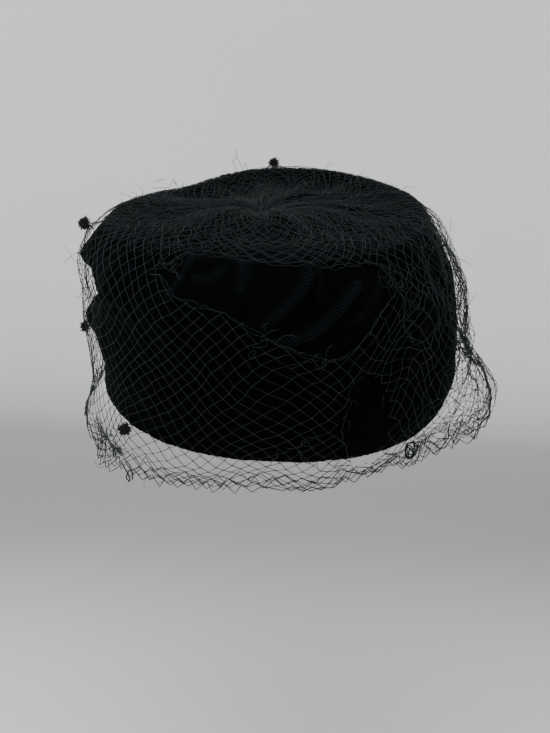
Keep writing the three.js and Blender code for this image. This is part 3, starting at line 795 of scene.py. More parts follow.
def tuft_tree():
    """Bristles stand all over a core, leaning and cut unevenly."""
    nodes, wires = new_tree(
        "hat_tufts",
        (
            ("Bristles", "NodeSocketFloat"),
            ("Length", "NodeSocketFloat"),
            ("Seed", "NodeSocketInt"),
            ("Finish", "NodeSocketMaterial"),
        ),
    )
    inputs = {"Mesh": wires["Geometry"], "Density": wires["Bristles"], "Seed": wires["Seed"]}
    roots = nodes.add("GeometryNodeDistributePointsOnFaces", None, inputs)
    upright = Wire(nodes, roots.socket.node.outputs["Rotation"])
    lean = nodes.add(
        "FunctionNodeRandomValue", {"data_type": "FLOAT_VECTOR"},
        {0: (-0.6, -0.6, 0), 1: (0.6, 0.6, 0), "Seed": wires["Seed"]},
    )
    leaning = nodes.add(
        "FunctionNodeRotateRotation", {"rotation_space": "LOCAL"}, {"Rotation": upright, "Rotate By": lean},
    )
    cut = nodes.add(
        "FunctionNodeRandomValue", {"data_type": "FLOAT"}, {2: 0.35, 3: 1.2, "Seed": wires["Seed"]}, 1,
    )
    bristle = nodes.add(
        "GeometryNodeMeshCone", None,
        {"Vertices": 4, "Radius Top": 0.04, "Radius Bottom": 0.2, "Depth": 1},
    )
    raised = nodes.add("GeometryNodeTransform", None, {"Geometry": bristle, "Translation": (0, 0, -0.1)})
    length = cut * wires["Length"]
    sized = nodes.add("ShaderNodeVectorMath", {"operation": "SCALE"}, {0: (1, 1, 1), "Scale": length})
    bristles = nodes.add(
        "GeometryNodeInstanceOnPoints", None,
        {"Points": roots, "Instance": raised, "Rotation": leaning, "Scale": sized},
    )
    joined = nodes.add("GeometryNodeJoinGeometry", None, {"Geometry": bristles})
    nodes.tree.links.new(wires["Geometry"].socket, joined.socket.node.inputs["Geometry"])
    return close_tree(nodes, joined, wires["Finish"])


def wrinkle_tree():
    """Small wrinkles and pile over a velvet wall, pushed in and out along its normals."""
    nodes, wires = new_tree(
        "hat_wrinkles",
        (("Depth", "NodeSocketFloat"), ("Size", "NodeSocketFloat"), ("Finish", "NodeSocketMaterial")),
    )
    place = nodes.add("GeometryNodeInputPosition")
    normal = nodes.add("GeometryNodeInputNormal")
    scale = nodes.add("ShaderNodeMath", {"operation": "DIVIDE"}, {0: 1.0, 1: wires["Size"]})
    broad = noise_over(nodes, place, scale, 2, 0.5)
    fine = noise_over(nodes, place, scale * 4.0, 2, 0.5)
    pile = noise_over(nodes, place, scale * 6.5, 1, 0.5)
    depth = (broad * 1.6 + fine * 0.4 + pile * 2.2 - 2.1) * wires["Depth"]
    offset = nodes.add("ShaderNodeVectorMath", {"operation": "SCALE"}, {0: normal, "Scale": depth})
    wrinkled = nodes.add("GeometryNodeSetPosition", None, {"Geometry": wires["Geometry"], "Offset": offset})
    return close_tree(nodes, wrinkled, wires["Finish"])


def grown(name, mesh, tree, values):
    """A piece of its own, made by a tree of nodes from a plain mesh."""
    source = bpy.data.objects.new(name + "_source", mesh)
    bpy.context.scene.collection.objects.link(source)
    modifier = source.modifiers.new("Growth", "NODES")
    modifier.node_group = tree
    for item in tree.interface.items_tree:
        if item.item_type == "SOCKET" and item.in_out == "INPUT" and item.name in values:
            modifier[item.identifier] = values[item.name]
    evaluated = source.evaluated_get(bpy.context.evaluated_depsgraph_get())
    plain = bpy.data.meshes.new_from_object(evaluated)
    bpy.data.objects.remove(source)
    if not plain.polygons:
        raise RuntimeError(f"{name} came out empty")
    plain.name = name
    piece = bpy.data.objects.new(name, plain)
    bpy.context.scene.collection.objects.link(piece)
    return piece


def dress(piece, slot, *nodes):
    """Puts a piece on the hat in place of its solids. The slot it is given is not used."""
    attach(piece, BODY)
    if nodes:
        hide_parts(*nodes)
    return piece


def around(rows, column, angle):
    """One column of a table that goes round the hat, run smoothly through its rows, at angles in radians."""
    values = np.array([getattr(row, column) for row in rows], float)
    place = np.mod(np.asarray(angle) / math.tau * len(rows), len(rows))
    row = np.floor(place).astype(int)
    t = place - row
    p0, p1, p2, p3 = (values[(row + step) % len(rows)] for step in (-1, 0, 1, 2))
    bend = 2 * p0 - 5 * p1 + 4 * p2 - p3 + t * (3 * (p1 - p2) + p3 - p0)
    return p1 + 0.5 * t * (p2 - p0 + t * bend)


def ramp(x, start, end):
    """A smooth step from 0 to 1 between two edges."""
    t = np.clip((x - start) / (end - start), 0, 1)
    return t * t * (3 - 2 * t)


def turn(angle, other):
    """The difference between two angles in radians, from -pi to pi."""
    return np.mod(angle - other + math.pi, math.tau) - math.pi


def stand_out(angle, out, z):
    """The points that stand a distance outside the rim at an angle, at a height."""
    power = 2 / RIM_SQUARENESS
    angle, out, z = np.broadcast_arrays(angle, out, z)
    sine, cosine = np.sin(angle), np.cos(angle)
    x = (RIM_HALF_WIDTH + out) * np.sign(sine) * np.abs(sine) ** power
    y = -(RIM_HALF_DEPTH + out) * np.sign(cosine) * np.abs(cosine) ** power
    return np.stack([x, y, z], -1)


def run_through(points, steps, samples=14):
    """Even steps along the smooth curve through each row of points."""
    points = np.asarray(points, float)
    ends = 2 * points[:, :1] - points[:, 1:2], 2 * points[:, -1:] - points[:, -2:-1]
    p = np.concatenate([ends[0], points, ends[1]], 1)
    gaps = np.linalg.norm(np.diff(p, axis=1), axis=-1) ** 0.5
    t = np.linspace(0, 1, samples, endpoint=False)[None, :, None]
    stretches = []
    for i in range(points.shape[1] - 1):
        x0, x1, x2, x3 = (p[:, i + k, None] for k in range(4))
        d0, d1, d2 = (gaps[:, i + k, None, None] for k in range(3))
        m1 = ((x1 - x0) / d0 - (x2 - x0) / (d0 + d1) + (x2 - x1) / d1) * d1
        m2 = ((x2 - x1) / d1 - (x3 - x1) / (d1 + d2) + (x3 - x2) / d2) * d1
        bend = 3 * (x2 - x1) - 2 * m1 - m2
        twist = 2 * (x1 - x2) + m1 + m2
        stretches.append(x1 + t * (m1 + t * (bend + t * twist)))
    dense = np.concatenate([*stretches, points[:, -1:]], 1)
    lengths = np.linalg.norm(np.diff(dense, axis=1), axis=-1)
    even = np.empty((len(points), steps + 1, points.shape[-1]))
    for row, (line, parts) in enumerate(zip(dense, lengths)):
        reached = np.concatenate([[0], np.cumsum(parts)])
        wanted = np.linspace(0, reached[-1], steps + 1)
        for axis in range(points.shape[-1]):
            even[row, :, axis] = np.interp(wanted, reached, line[:, axis])
    return even


def grain(points, size, seed):
    """Smooth noise between about -1 and 1 at each point, with features about as large as size."""
    shift = Vector((17.3, 5.1, 9.7)) * (seed + 1)
    flat = (np.asarray(points) / size).reshape(-1, 3)
    values = [noise.noise(Vector(p) + shift) for p in flat.tolist()]
    return np.array(values).reshape(np.shape(points)[:-1]) * 1.6


def side_folds(angle, z, widening=1):
    """How far the broad folds raise the side at an angle and a height, grooves widened by a factor."""
    raised = 0
    for fold in SIDE_FOLDS:
        across = turn(angle, math.radians((fold.from_angle + fold.to_angle) / 2)) * RIM_RADIUS
        half_run = math.radians((fold.from_angle - fold.to_angle) / 2) * RIM_RADIUS
        half_rise = (fold.from_z - fold.to_z) / 2
        rise = z - (fold.from_z + fold.to_z) / 2
        length = math.hypot(half_run, half_rise)
        along = (across * half_run + rise * half_rise) / length
        aside = (across * half_rise - rise * half_run) / length
        past = np.maximum(0, np.abs(along) - length)
        width = fold.width * widening if fold.height < 0 else fold.width
        raised = raised + fold.height * np.exp(-((aside / width) ** 2) - (past / width) ** 2)
    return raised


def pleat_places(pleat, angle, z):
    """How near each place is to a pleat's line, on which side of it, and how far along it, in millimetres."""
    middle = math.radians(pleat.places[0][0])
    x, y = turn(angle, middle) * RIM_RADIUS, z
    nearest, sided, along = np.full(np.shape(x), 1e9), np.zeros(np.shape(x)), np.zeros(np.shape(x))
    places = [((math.radians(a) - middle) * RIM_RADIUS, height) for a, height in pleat.places]
    passed = 0
    for (ax, ay), (bx, by) in zip(places, places[1:]):
        run, rise = bx - ax, by - ay
        length = math.hypot(run, rise)
        share = np.clip(((x - ax) * run + (y - ay) * rise) / length**2, 0, 1)
        dx, dy = x - ax - share * run, y - ay - share * rise
        distance = np.hypot(dx, dy)
        side = np.sign(dy * run - dx * rise)
        closer = distance < nearest
        sided = np.where(closer, side * distance, sided)
        along = np.where(closer, passed + share * length, along)
        nearest = np.where(closer, distance, nearest)
        passed += length
    return nearest, sided, along


def pleat_relief(angle, z):
    """The side's sharp pleats: their relief, each a ridge with a crease along its right, the mask of the
    painted highlight along their ridges, and how far along a pleat each place lies.
    """
    relief, crest, run = 0, np.zeros(np.shape(z)), np.zeros(np.shape(z))
    for pleat in PLEATS:
        nearest, sided, along = pleat_places(pleat, angle, z)
        ridge = np.exp(-((nearest / pleat.width) ** 2))
        beside = (sided - 1.9 * pleat.width) / (1.1 * pleat.width)
        crease = np.exp(-(beside**2)) * (nearest < 5 * pleat.width)
        relief = relief + pleat.height * (ridge - 0.45 * crease)
        pleat_highlight = pleat.stitched * np.exp(-((nearest / (1.5 * pleat.width)) ** 2))
        run = np.where(pleat_highlight > crest, along + 0.7 * sided, run)
        crest = np.maximum(crest, pleat_highlight)
    return relief, crest, run


def side_control(angle):
    """The places that the side's section runs through at each angle: distance outside the rim, and height."""
    at = {column: around(SECTIONS, column, angle) for column in Section._fields}
    still = np.ones_like(at["low"])
    pairs = (
        (-1.5 * still, 0 * still),
        (0.4 * still, 1.2 * still),
        (at["belly"], at["low_z"] * BELLY_SHARE),
        (at["low"], at["low_z"]),
        (at["waist"], at["waist_z"]),
        (at["high"], at["high_z"]),
        (at["shoulder"], at["shoulder_z"]),
        (at["edge"] + 1.5, at["edge_z"] - 0.6),
        (at["edge"] - SEAM_LIP, at["edge_z"] - at["tuck"]),
    )
    return np.stack([np.stack(pair, -1) for pair in pairs], 1)


def velvet_drape_noise(angle, z):
    """Long soft wrinkles that run down the side aslant, and short gathers under the seam."""
    slanted = angle + z / RIM_RADIUS * 0.8
    point = np.stack([np.cos(slanted) * RIM_RADIUS, np.sin(slanted) * RIM_RADIUS, z * 0.22 + 0 * angle], -1)
    long_folds = grain(point, 11, 1)
    upright = np.stack([np.cos(angle) * RIM_RADIUS, np.sin(angle) * RIM_RADIUS, z * 0.3 + 0 * angle], -1)
    gathers = grain(upright, 4.2, 2)
    edge_z = around(SECTIONS, "edge_z", angle)
    near_seam = ramp(z, edge_z - 22, edge_z - 3)
    return long_folds * 0.55 + gathers * near_seam * 0.8


def side_grid(slices, outer_steps, inner_steps):
    """The side's wall as closed sections, up the outer face and down the inner one, with the mask of its
    painted pleat highlight and how far along a pleat each place lies.
    """
    angle = np.arange(slices) * math.tau / slices
    control = side_control(angle)
    outer = run_through(control, outer_steps)
    a, out, z = angle[:, None], outer[..., 0], outer[..., 1]
    above_hem = ramp(z, 0, HEM_HEIGHT)
    a_all = np.broadcast_to(a, z.shape)
    relief, crest, run = pleat_relief(a_all, z)
    raised = side_folds(a, z) + relief + velvet_drape_noise(a_all, z)
    outer_face = stand_out(a, out + raised * above_hem, z)
    inner = run_through(control, inner_steps)
    slope = np.gradient(inner, axis=1)
    slope /= np.linalg.norm(slope, axis=-1, keepdims=True)
    out, z = inner[..., 0], inner[..., 1]
    wall = HEM_WALL + (VELVET_WALL - HEM_WALL) * ramp(z, HEM_HEIGHT * 0.4, HEM_HEIGHT)
    raised = side_folds(a, z, GROOVE_WIDENING) * ramp(z, 0, HEM_HEIGHT)
    inner_face = stand_out(a, out + raised - slope[..., 1] * wall, z + slope[..., 0] * wall)
    unmarked = np.zeros(inner_face.shape[:2])
    marks = {"crest": np.concatenate([crest, unmarked], 1), "run": np.concatenate([run, unmarked], 1)}
    return np.concatenate([outer_face, inner_face[:, ::-1]], 1), marks


def crown_edge(angle, inset=0):
    """The crown's outer edge at each angle, just inside the lip of the side."""
    return stand_out(
        angle,
        around(SECTIONS, "edge", angle) - SEAM_LIP - SEAM_GAP - inset,
        around(SECTIONS, "edge_z", angle) - around(SECTIONS, "tuck", angle),
    )


def crown_rise(angle, reach):
    """How far the crown's broad folds stand above a straight line from the pinch to the edge."""
    rise = CROWN_LIFT * np.sin(math.pi * np.sqrt(reach)) ** 2
    for fold in CROWN_FOLDS:
        aside = turn(angle, math.radians(fold.angle)) / math.radians(fold.width)
        spread = ramp(reach, 0, fold.start + 0.15) * (1 - ramp(reach, fold.end - 0.25, fold.end + 0.05))
        rise = rise + fold.height * np.exp(-aside * aside) * spread
    return rise


def crown_gathers(angle, reach):
    """The crown's sharp ridges, and the short gathers that crowd towards its pinch and its seam."""
    relief = 0
    for ridge in CROWN_RIDGES:
        middle = math.radians(ridge.angle) + math.radians(ridge.curl) * reach
        aside = turn(angle, middle) / math.radians(ridge.width)
        spread = ramp(reach, 0, ridge.start + 0.15) * (1 - ramp(reach, ridge.end - 0.12, ridge.end + 0.05))
        relief = relief + ridge.height * np.exp(-aside * aside) * spread
    point = np.stack([np.cos(angle) * 30, np.sin(angle) * 30, reach * 14], -1)
    inner = grain(point, 3.4, 3) * ramp(reach, 0, 0.12) * (1 - ramp(reach, 0.3, 0.7))
    outer = grain(point, 1.9, 4) * ramp(reach, 0.72, 0.93) * (1 - ramp(reach, 0.96, 1))
    return relief + inner * 0.9 + outer * 0.7


def crown_point(angle, reach):
    """Points of the crown's upper face, without the sharp ridges."""
    angle, reach = np.broadcast_arrays(np.asarray(angle, float), np.asarray(reach, float))
    edge = crown_edge(angle)
    point = np.array(PINCH) + (edge - np.array(PINCH)) * reach[..., None]
    point[..., 2] = PINCH[2] + (edge[..., 2] - PINCH[2]) * ramp(reach, 0, 0.55) + crown_rise(angle, reach)
    return point


def closed_mesh(name, vertices, faces, marks=None):
    """A mesh in metres from points in millimetres, with marks of its own at its points."""
    mesh = bpy.data.meshes.new(name)
    mesh.from_pydata((np.asarray(vertices) * MM).tolist(), [], faces)
    for mark, values in (marks or {}).items():
        layer = mesh.attributes.new(mark, "FLOAT", "POINT")
        layer.data.foreach_set("value", np.asarray(values, np.float32).ravel())
    mesh.update()
    return mesh


def ring_faces(slices, rings, wraps):
    """Quads between neighbouring sections round the hat, each closed on itself if it wraps."""
    faces = []
    for i in range(slices):
        here, there = i * rings, (i + 1) % slices * rings
        for j in range(rings if wraps else rings - 1):
            k = (j + 1) % rings
            faces.append((here + j, there + j, there + k, here + k))
    return faces


def side_mesh():
    """The velvet side."""
    grid, marks = side_grid(SIDE_SLICES, SIDE_OUTER_STEPS, SIDE_INNER_STEPS)
    slices, rings = grid.shape[:2]
    return closed_mesh("velvet_side", grid.reshape(-1, 3), ring_faces(slices, rings, True), marks)


def crown_mesh():
    """The velvet crown: its lower face out to its allowance under the lip, then its upper face back in."""
    angle = (np.arange(CROWN_SLICES) * math.tau / CROWN_SLICES)[:, None]
    reach = np.linspace(1 / CROWN_INNER_STEPS, 1, CROWN_INNER_STEPS)[None]
    lower = crown_point(angle, reach)
    lower[..., 2] -= VELVET_WALL
    lower[:, -1] = crown_edge(angle[:, 0], -SEAM_ALLOWANCE) - (0, 0, VELVET_WALL + SEAM_DEPTH)
    reach = np.linspace(1, 1 / CROWN_OUTER_STEPS, CROWN_OUTER_STEPS)[None]
    upper = crown_point(angle, reach)
    upper[..., 2] += crown_gathers(*np.broadcast_arrays(angle, reach))
    upper[:, 0, 2] -= CROWN_EDGE_DIP
    grid = np.concatenate([lower, upper], 1)
    slices, rings = grid.shape[:2]
    base, top = slices * rings, slices * rings + 1
    faces = ring_faces(slices, rings, False)
    for i in range(slices):
        j = (i + 1) % slices
        faces.append((base, j * rings, i * rings))
        faces.append((top, i * rings + rings - 1, j * rings + rings - 1))
    points = np.concatenate([grid.reshape(-1, 3), [np.array(PINCH) - (0, 0, VELVET_WALL), PINCH]])
    return closed_mesh("velvet_crown", points, faces)


class VeilSurface:
    """The surface that the net lies on, from the gather on the crown to the hem."""

    ANGLES = 720
    STEPS = 260

    def __init__(self, lift):
        angle = np.arange(self.ANGLES) * math.tau / self.ANGLES
        at = {column: around(SECTIONS, column, angle) for column in Section._fields}
        hang = {column: around(VEIL_HANG, column, angle) for column in Hang._fields}
        low = at["low"] + np.maximum(0, side_folds(angle, at["low_z"]))
        high = at["high"] + np.maximum(0, side_folds(angle, at["high_z"]))
        body = np.maximum(at["waist"] + 2, (high + low) / 2 - 1)
        raised = (0, 0, lift * 0.5 - 0.4)
        on_crown = [crown_point(angle, reach) + raised for reach in (VEIL_START, 0.14, 0.4, 0.7)]
        down_side = [
            stand_out(angle, at["edge"] - 3, at["edge_z"] + lift * 0.4),
            stand_out(angle, at["shoulder"] + lift * 0.4 + 0.5, at["shoulder_z"] + 1.5),
            stand_out(angle, high + lift + 0.6, at["high_z"]),
            stand_out(angle, body + lift, at["waist_z"]),
            stand_out(angle, low + lift + hang["puff"] * LOW_PUFF_SHARE, at["low_z"]),
            stand_out(angle, (2 + hang["flare"]) / 2 + lift + hang["puff"], 0),
            stand_out(angle, hang["flare"] + lift, -hang["drop"]),
        ]
        self.points = run_through(np.stack(on_crown + down_side, 1), self.STEPS)
        self.length = np.linalg.norm(np.diff(self.points, axis=1), axis=-1).sum(1)
        self.angle = angle
        self.edge = self.edge_along(down_side[0])
        self.seam, self.open = self.eye()

    def at(self, angle, along):
        """Points of the surface."""
        a = np.mod(np.asarray(angle) / math.tau * self.ANGLES, self.ANGLES)
        s = np.clip(along, 0, 1) * self.STEPS
        i, j = np.floor(a).astype(int), np.minimum(np.floor(s).astype(int), self.STEPS - 1)
        fa, fs = (a - i)[..., None], (s - j)[..., None]
        i, k = i % self.ANGLES, (i + 1) % self.ANGLES
        before, after = (self.points[n, j] * (1 - fs) + self.points[n, j + 1] * fs for n in (i, k))
        return before * (1 - fa) + after * fa

    def normal(self, angle, along):
        """Outward normals of the surface."""
        step = 0.006
        s = np.clip(along, step, 1 - step)
        across = self.at(angle + step, s) - self.at(angle - step, s)
        down = self.at(angle, s + step) - self.at(angle, s - step)
        n = np.cross(down, across)
        return n / np.linalg.norm(n, axis=-1, keepdims=True)

    def round(self, values, angle):
        """A value for each of the surface's angles, read at other angles."""
        wrapped = np.append(values, values[0])
        return np.interp(np.mod(angle, math.tau), np.append(self.angle, math.tau), wrapped)

    def edge_along(self, edge):
        """How far along the surface it passes the crown's edge, for each of its angles."""
        nearest = np.linalg.norm(self.points - edge[:, None], axis=-1).argmin(1) / self.STEPS
        return softened(nearest, 31, "wrap")

    def down(self, angle, along):
        """How far down from the crown's edge places are, in millimetres."""
        return (along - self.round(self.edge, angle)) * self.round(self.length, angle)

    def eye(self):
        """Along the eye-shaped opening: where the net parts, and how far the lower border lies below that."""
        degrees_round = np.degrees(turn(self.angle, 0))
        borders = np.array([[row.angle, row.upper, row.lower] for row in EYE], float)
        order = np.argsort(degrees_round)
        read = []
        for column in (1, 2):
            line = softened(np.interp(degrees_round[order], borders[:, 0], borders[:, column]), 7, "edge")
            unsorted = np.empty_like(line)
            unsorted[order] = line
            read.append(unsorted / self.length)
        upper, lower = read
        inside = (degrees_round > EYE[0].angle) & (degrees_round < EYE[-1].angle)
        return self.edge + upper, np.where(inside, np.maximum(0, lower - upper), 0)


def softened(line, width, mode):
    """A row of values, each the weighted mean of its neighbours."""
    weights = np.hanning(width + 2)[1:-1]
    padded = np.pad(line, width // 2, mode=mode)
    return np.convolve(padded, weights / weights.sum(), mode="valid")


def gap_border(side, down):
    """The angle of the gap's left or right border, as far down the net."""
    return np.interp(down, [row.down for row in GAP], np.radians([getattr(row, side) for row in GAP]))


def rucked(surface, angle, along):
    """Places of the lattice, turned and squeezed where the net is rucked."""
    for ruck in RUCKS:
        length = surface.round(surface.length, angle)
        x = turn(angle, math.radians(ruck.angle)) * RIM_RADIUS
        y = surface.down(angle, along) - ruck.down
        share = np.exp(-(x * x + y * y) / ruck.reach**2)
        cosine, sine = math.cos(math.radians(ruck.turned)), math.sin(math.radians(ruck.turned))
        moved_x = (x * cosine + y * sine) * ruck.width
        moved_y = (y * cosine - x * sine) * ruck.height
        angle = angle + share * (moved_x - x) / RIM_RADIUS
        along = along + share * (moved_y - y) / length
    return angle, along


def parted(surface, angle, along):
    """Places of the net, drawn aside at the eye and the gap, and whether they fall in either opening."""
    seam, opened = surface.round(surface.seam, angle), surface.round(surface.open, angle)
    length = surface.round(surface.length, angle)
    drawn = EYE_DRAWN * opened * np.exp(-np.maximum(0, along - seam) * length / EYE_PULL)
    along = np.where(along > seam, along + drawn, along)
    in_eye = (along > seam) & (along < seam + opened)
    down = surface.down(angle, along)
    left, right = (gap_border(side, down) for side in ("left", "right"))
    middle = (left + right) / 2
    aside = turn(angle, middle)
    half = (right - left) / 2
    drawn = GAP_DRAWN * half * np.exp(-np.abs(aside) * RIM_RADIUS / GAP_PULL)
    angle = angle + np.sign(aside) * drawn
    in_gap = np.abs(turn(angle, middle)) < half
    return angle, along, in_eye | in_gap


def lay_net(surface, angle, along, velvet, lift=0, seed=0):
    """Where the net's even lattice comes to lie once it is crumpled, rucked and parted.

    Gives its points, their angles and whether each falls in an opening.
    """
    base = surface.at(angle, along)
    length = surface.round(surface.length, angle)
    aside = (np.degrees(turn(angle, 0)) - UNRULY_ANGLE) / UNRULY_WIDTH
    unruly = np.exp(-(aside**2)) * ramp(along, *UNRULY_START)
    heaped = 1 - ramp(along, *HEAPED_END)
    free = ramp(along, 0.02, 0.12) * (1 - 0.5 * ramp(along, 0.96, 1))

    def pushed(points, row, shift=0):
        """How far a row of disorder pushes the net at points."""
        strength = row.even + row.unruly * unruly + row.heaped * heaped
        return grain(points, row.size, seed + row.seed + shift) * strength

    dx, dy = (sum(pushed(base, row, axis) for row in DRIFTS) * free for axis in range(2))
    angle, along = rucked(surface, angle + dx / RIM_RADIUS, along + dy / length)
    angle, along, bare = parted(surface, angle, along)
    point = surface.at(angle, along)
    stands_off = sum((pushed(point, row) for row in LIFTS), lift)
    stands_off = stands_off + grain(point, 21, seed + 43) * HEM_SWAY * ramp(along, 0.9, 1)
    normal = surface.normal(angle, along)
    point = point + normal * stands_off[..., None]
    point = point + normal * drawn_to_dots(point, normal)[..., None]
    return clear_of(point, velvet), angle, bare


def drawn_to_dots(points, normals):
    """How far the net is drawn outwards at points, to the dots that are tied on it."""
    drawn = np.zeros(points.shape[:-1])
    for node in VEIL_DOTS:
        to_dot = sum(np.array(corner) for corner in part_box(node)) / 2 / MM - points
        out = (to_dot * normals).sum(-1)
        aside = np.linalg.norm(to_dot - normals * out[..., None], axis=-1)
        share = np.exp(-((aside / DOT_REACH) ** 2)) * (out < DOT_FAR)
        drawn = drawn + share * np.maximum(0, out - DOT_DEPTH)
    return drawn


def clear_of(points, velvet):
    """Points in millimetres, pushed out where they are too near to the velvet or inside it."""
    flat = points.reshape(-1, 3).copy()
    for i, p in enumerate(flat):
        place, normal, _, distance = velvet.find_nearest(Vector(p) * MM, CLEARANCE_REACH * MM)
        if place is None:
            continue
        height = (Vector(p) * MM - place).dot(normal) / MM
        if height < THREAD_CLEARANCE and (distance / MM < THREAD_CLEARANCE or height < 0):
            flat[i] = np.array(place) / MM + np.array(normal) * THREAD_CLEARANCE
    return flat.reshape(points.shape)


@cache
def velvet_tree():
    """The finished velvet, to measure distances from."""
    points, faces = [], []
    for name in ("velvet_side", "velvet_crown"):
        mesh = bpy.data.objects[name].data
        start = len(points)
        points += [vertex.co.copy() for vertex in mesh.vertices]
        faces += [[start + v for v in polygon.vertices] for polygon in mesh.polygons]
    return BVHTree.FromPolygons(points, faces)


def unbroken(points, kept):
    """The stretches of a line of points that are kept."""
    stretches, start = [], None
    for i, keep in enumerate([*kept.tolist(), False]):
        if keep and start is None:
            start = i
        elif not keep and start is not None:
            if i - start > 1:
                stretches.append(points[start:i])
            start = None
    return stretches


def slack(lines, velvet, seed):
    """Lines through knots, each stretch between two knots bowed a little."""
    bowed = []
    for line in lines:
        middles = (line[1:] + line[:-1]) / 2
        sway = np.stack([grain(middles, 3, seed + axis) for axis in range(3)], -1) * 0.22
        fine = np.empty((2 * len(line) - 1, 3))
        fine[::2], fine[1::2] = line, middles + sway
        fine[1::2] = clear_of(fine[1::2], velvet)
        bowed.append(fine)
    return bowed


def net_along(layer, row):
    """How far along the veil a layer's rows lie: evenly, and pushed together at the hem if it reaches it."""
    if layer.last < 1:
        return layer.first + row / layer.rows * (layer.last - layer.first)
    ends = (0, layer.rows - HEM_ROWS, layer.rows)
    return np.interp(row, ends, (layer.first, HEM_END - HEM_BAND, HEM_END))


def net_lines(surface, velvet, layer):
    """The threads of a layer of net, as lines of points from knot to knot, and its knots."""
    pitch = math.tau / layer.columns

    def crossings(column, row):
        """Where crossings of the lattice come to lie, and which of them are kept."""
        start = column * pitch + math.radians(layer.turned)
        point, angle, bare = lay_net(surface, start, net_along(layer, row), velvet, layer.lift, layer.seed)
        return point, ~bare & within(layer, point, angle)

    lines = []
    row = np.arange(layer.rows + 1)
    for lean in (-1, 1):
        for column in range(layer.columns):
            lines += unbroken(*crossings(column + lean * row / 2, row))
    row = np.repeat(np.arange(1, layer.rows + 1), layer.columns)
    knots, kept = crossings(np.tile(np.arange(layer.columns), layer.rows) + (row % 2) / 2, row)
    return slack(lines, velvet, layer.seed + 51), knots[kept]


def within(layer, point, angle):
    """Whether places of the net lie between a layer's left and right angle, which waver a little."""
    middle = math.radians((layer.left + layer.right) / 2)
    half = math.radians((layer.right - layer.left) / 2)
    if half >= math.pi:
        return np.ones(angle.shape, bool)
    waver = grain(point, 9, layer.seed) * 0.07
    return np.abs(turn(angle, middle)) < half + waver


def line_mesh(name, lines, girths):
    """A mesh of bare edges along lines of points in millimetres, each point with its girth in metres."""
    points = np.concatenate(lines) * MM
    edges, start = [], 0
    for line in lines:
        edges += [(start + i, start + i + 1) for i in range(len(line) - 1)]
        start += len(line)
    mesh = bpy.data.meshes.new(name)
    mesh.from_pydata(points.tolist(), edges, [])
    girth = mesh.attributes.new("girth", "FLOAT", "POINT")
    girth.data.foreach_set("value", np.concatenate(girths).astype(np.float32))
    mesh.update()
    return mesh


def threads(name, lines, girth, finish, sides=4, tapers=False):
    """A piece of round threads along lines of points, of a girth in metres, fine at the end if they taper."""
    girths = []
    for line in lines:
        uneven = 1 + 0.18 * grain(line, 3.1, 7)
        if tapers:
            uneven = uneven * np.linspace(1, 0.55, len(line))
        girths.append(uneven * girth)
    tree = bpy.data.node_groups.get("hat_threads") or thread_tree()
    return grown(name, line_mesh(name, lines, girths), tree, {"Sides": sides, "Finish": finish})


def finish_named(name):
    """A finish that an earlier step has made."""
    return bpy.data.materials[name]


class HAT_OT_stage(bpy.types.Operator):
    """Sets the pale paper stage, the soft light and the camera"""

    bl_idname = "hat.stage"
    bl_label = "Stage, light and camera"

    def execute(self, context):
        self.paper(context)
        self.lights(context)
        self.camera(context)
        return {"FINISHED"}

    def paper(self, context):
        """A floor that sweeps up into a wall."""
        settings = context.scene.hat_stage
        profile = [(PAPER_FRONT, -settings.drop)]
        for step in range(PAPER_COVE_STEPS + 1):
            a = math.radians(90 * step / PAPER_COVE_STEPS)
            y = settings.wall - PAPER_COVE + PAPER_COVE * math.sin(a)
            profile.append((y, -settings.drop + PAPER_COVE - PAPER_COVE * math.cos(a)))
        profile.append((settings.wall, PAPER_HEIGHT))
        points = [(x, y, z) for y, z in profile for x in (-PAPER_HALF_WIDTH, PAPER_HALF_WIDTH)]
        faces = [(2 * i, 2 * i + 1, 2 * i + 3, 2 * i + 2) for i in range(len(profile) - 1)]
        mesh = bpy.data.meshes.new("stage_paper")
        mesh.from_pydata(points, [], faces)
        mesh.polygons.foreach_set("use_smooth", [True] * len(faces))
        mesh.materials.append(paper_finish(settings))
        stage = bpy.data.objects.new("stage_paper", mesh)
        context.scene.collection.objects.link(stage)

    def lights(self, context):
        """Large soft lights above, and a weak even surround."""
        for row in LIGHTS:
            data = bpy.data.lights.new(row.name, "AREA")
            data.shape = "SQUARE"
            data.size = row.size
            data.energy = row.power
            lamp = bpy.data.objects.new(row.name, data)
            context.scene.collection.objects.link(lamp)
            lamp.location = row.place
            lamp.rotation_euler = (-Vector(row.place)).to_track_quat("-Z", "Y").to_euler()
        world = bpy.data.worlds.new("surround")
        world.use_nodes = True
        background = world.node_tree.nodes["Background"]
        background.inputs["Color"].default_value = SURROUND_COLOUR
        background.inputs["Strength"].default_value = SURROUND_POWER
        context.scene.world = world

    def camera(self, context):
        """The camera at the photograph's place, rolled a little to the left."""
        elevation, roll = math.radians(CAMERA_ELEVATION), math.radians(CAMERA_ROLL)
        back = Vector((0, -math.cos(elevation), math.sin(elevation)))
        level, upright = Vector((1, 0, 0)), Vector((0, math.sin(elevation), math.cos(elevation)))
        right = level * math.cos(roll) + upright * math.sin(roll)
        up = upright * math.cos(roll) - level * math.sin(roll)
        data = bpy.data.cameras.new("camera")
        data.sensor_width = CAMERA_SENSOR
        data.lens = CAMERA_SENSOR * FOCAL_PIXELS / PHOTO_PIXELS
        data.clip_start = 0.01
        camera = bpy.data.objects.new("camera", data)
        context.scene.collection.objects.link(camera)
        place = Matrix.Translation(Vector(CAMERA_AIM) + back * CAMERA_DISTANCE)
        camera.matrix_world = place @ Matrix((right, up, back)).transposed().to_4x4()
        context.scene.camera = camera


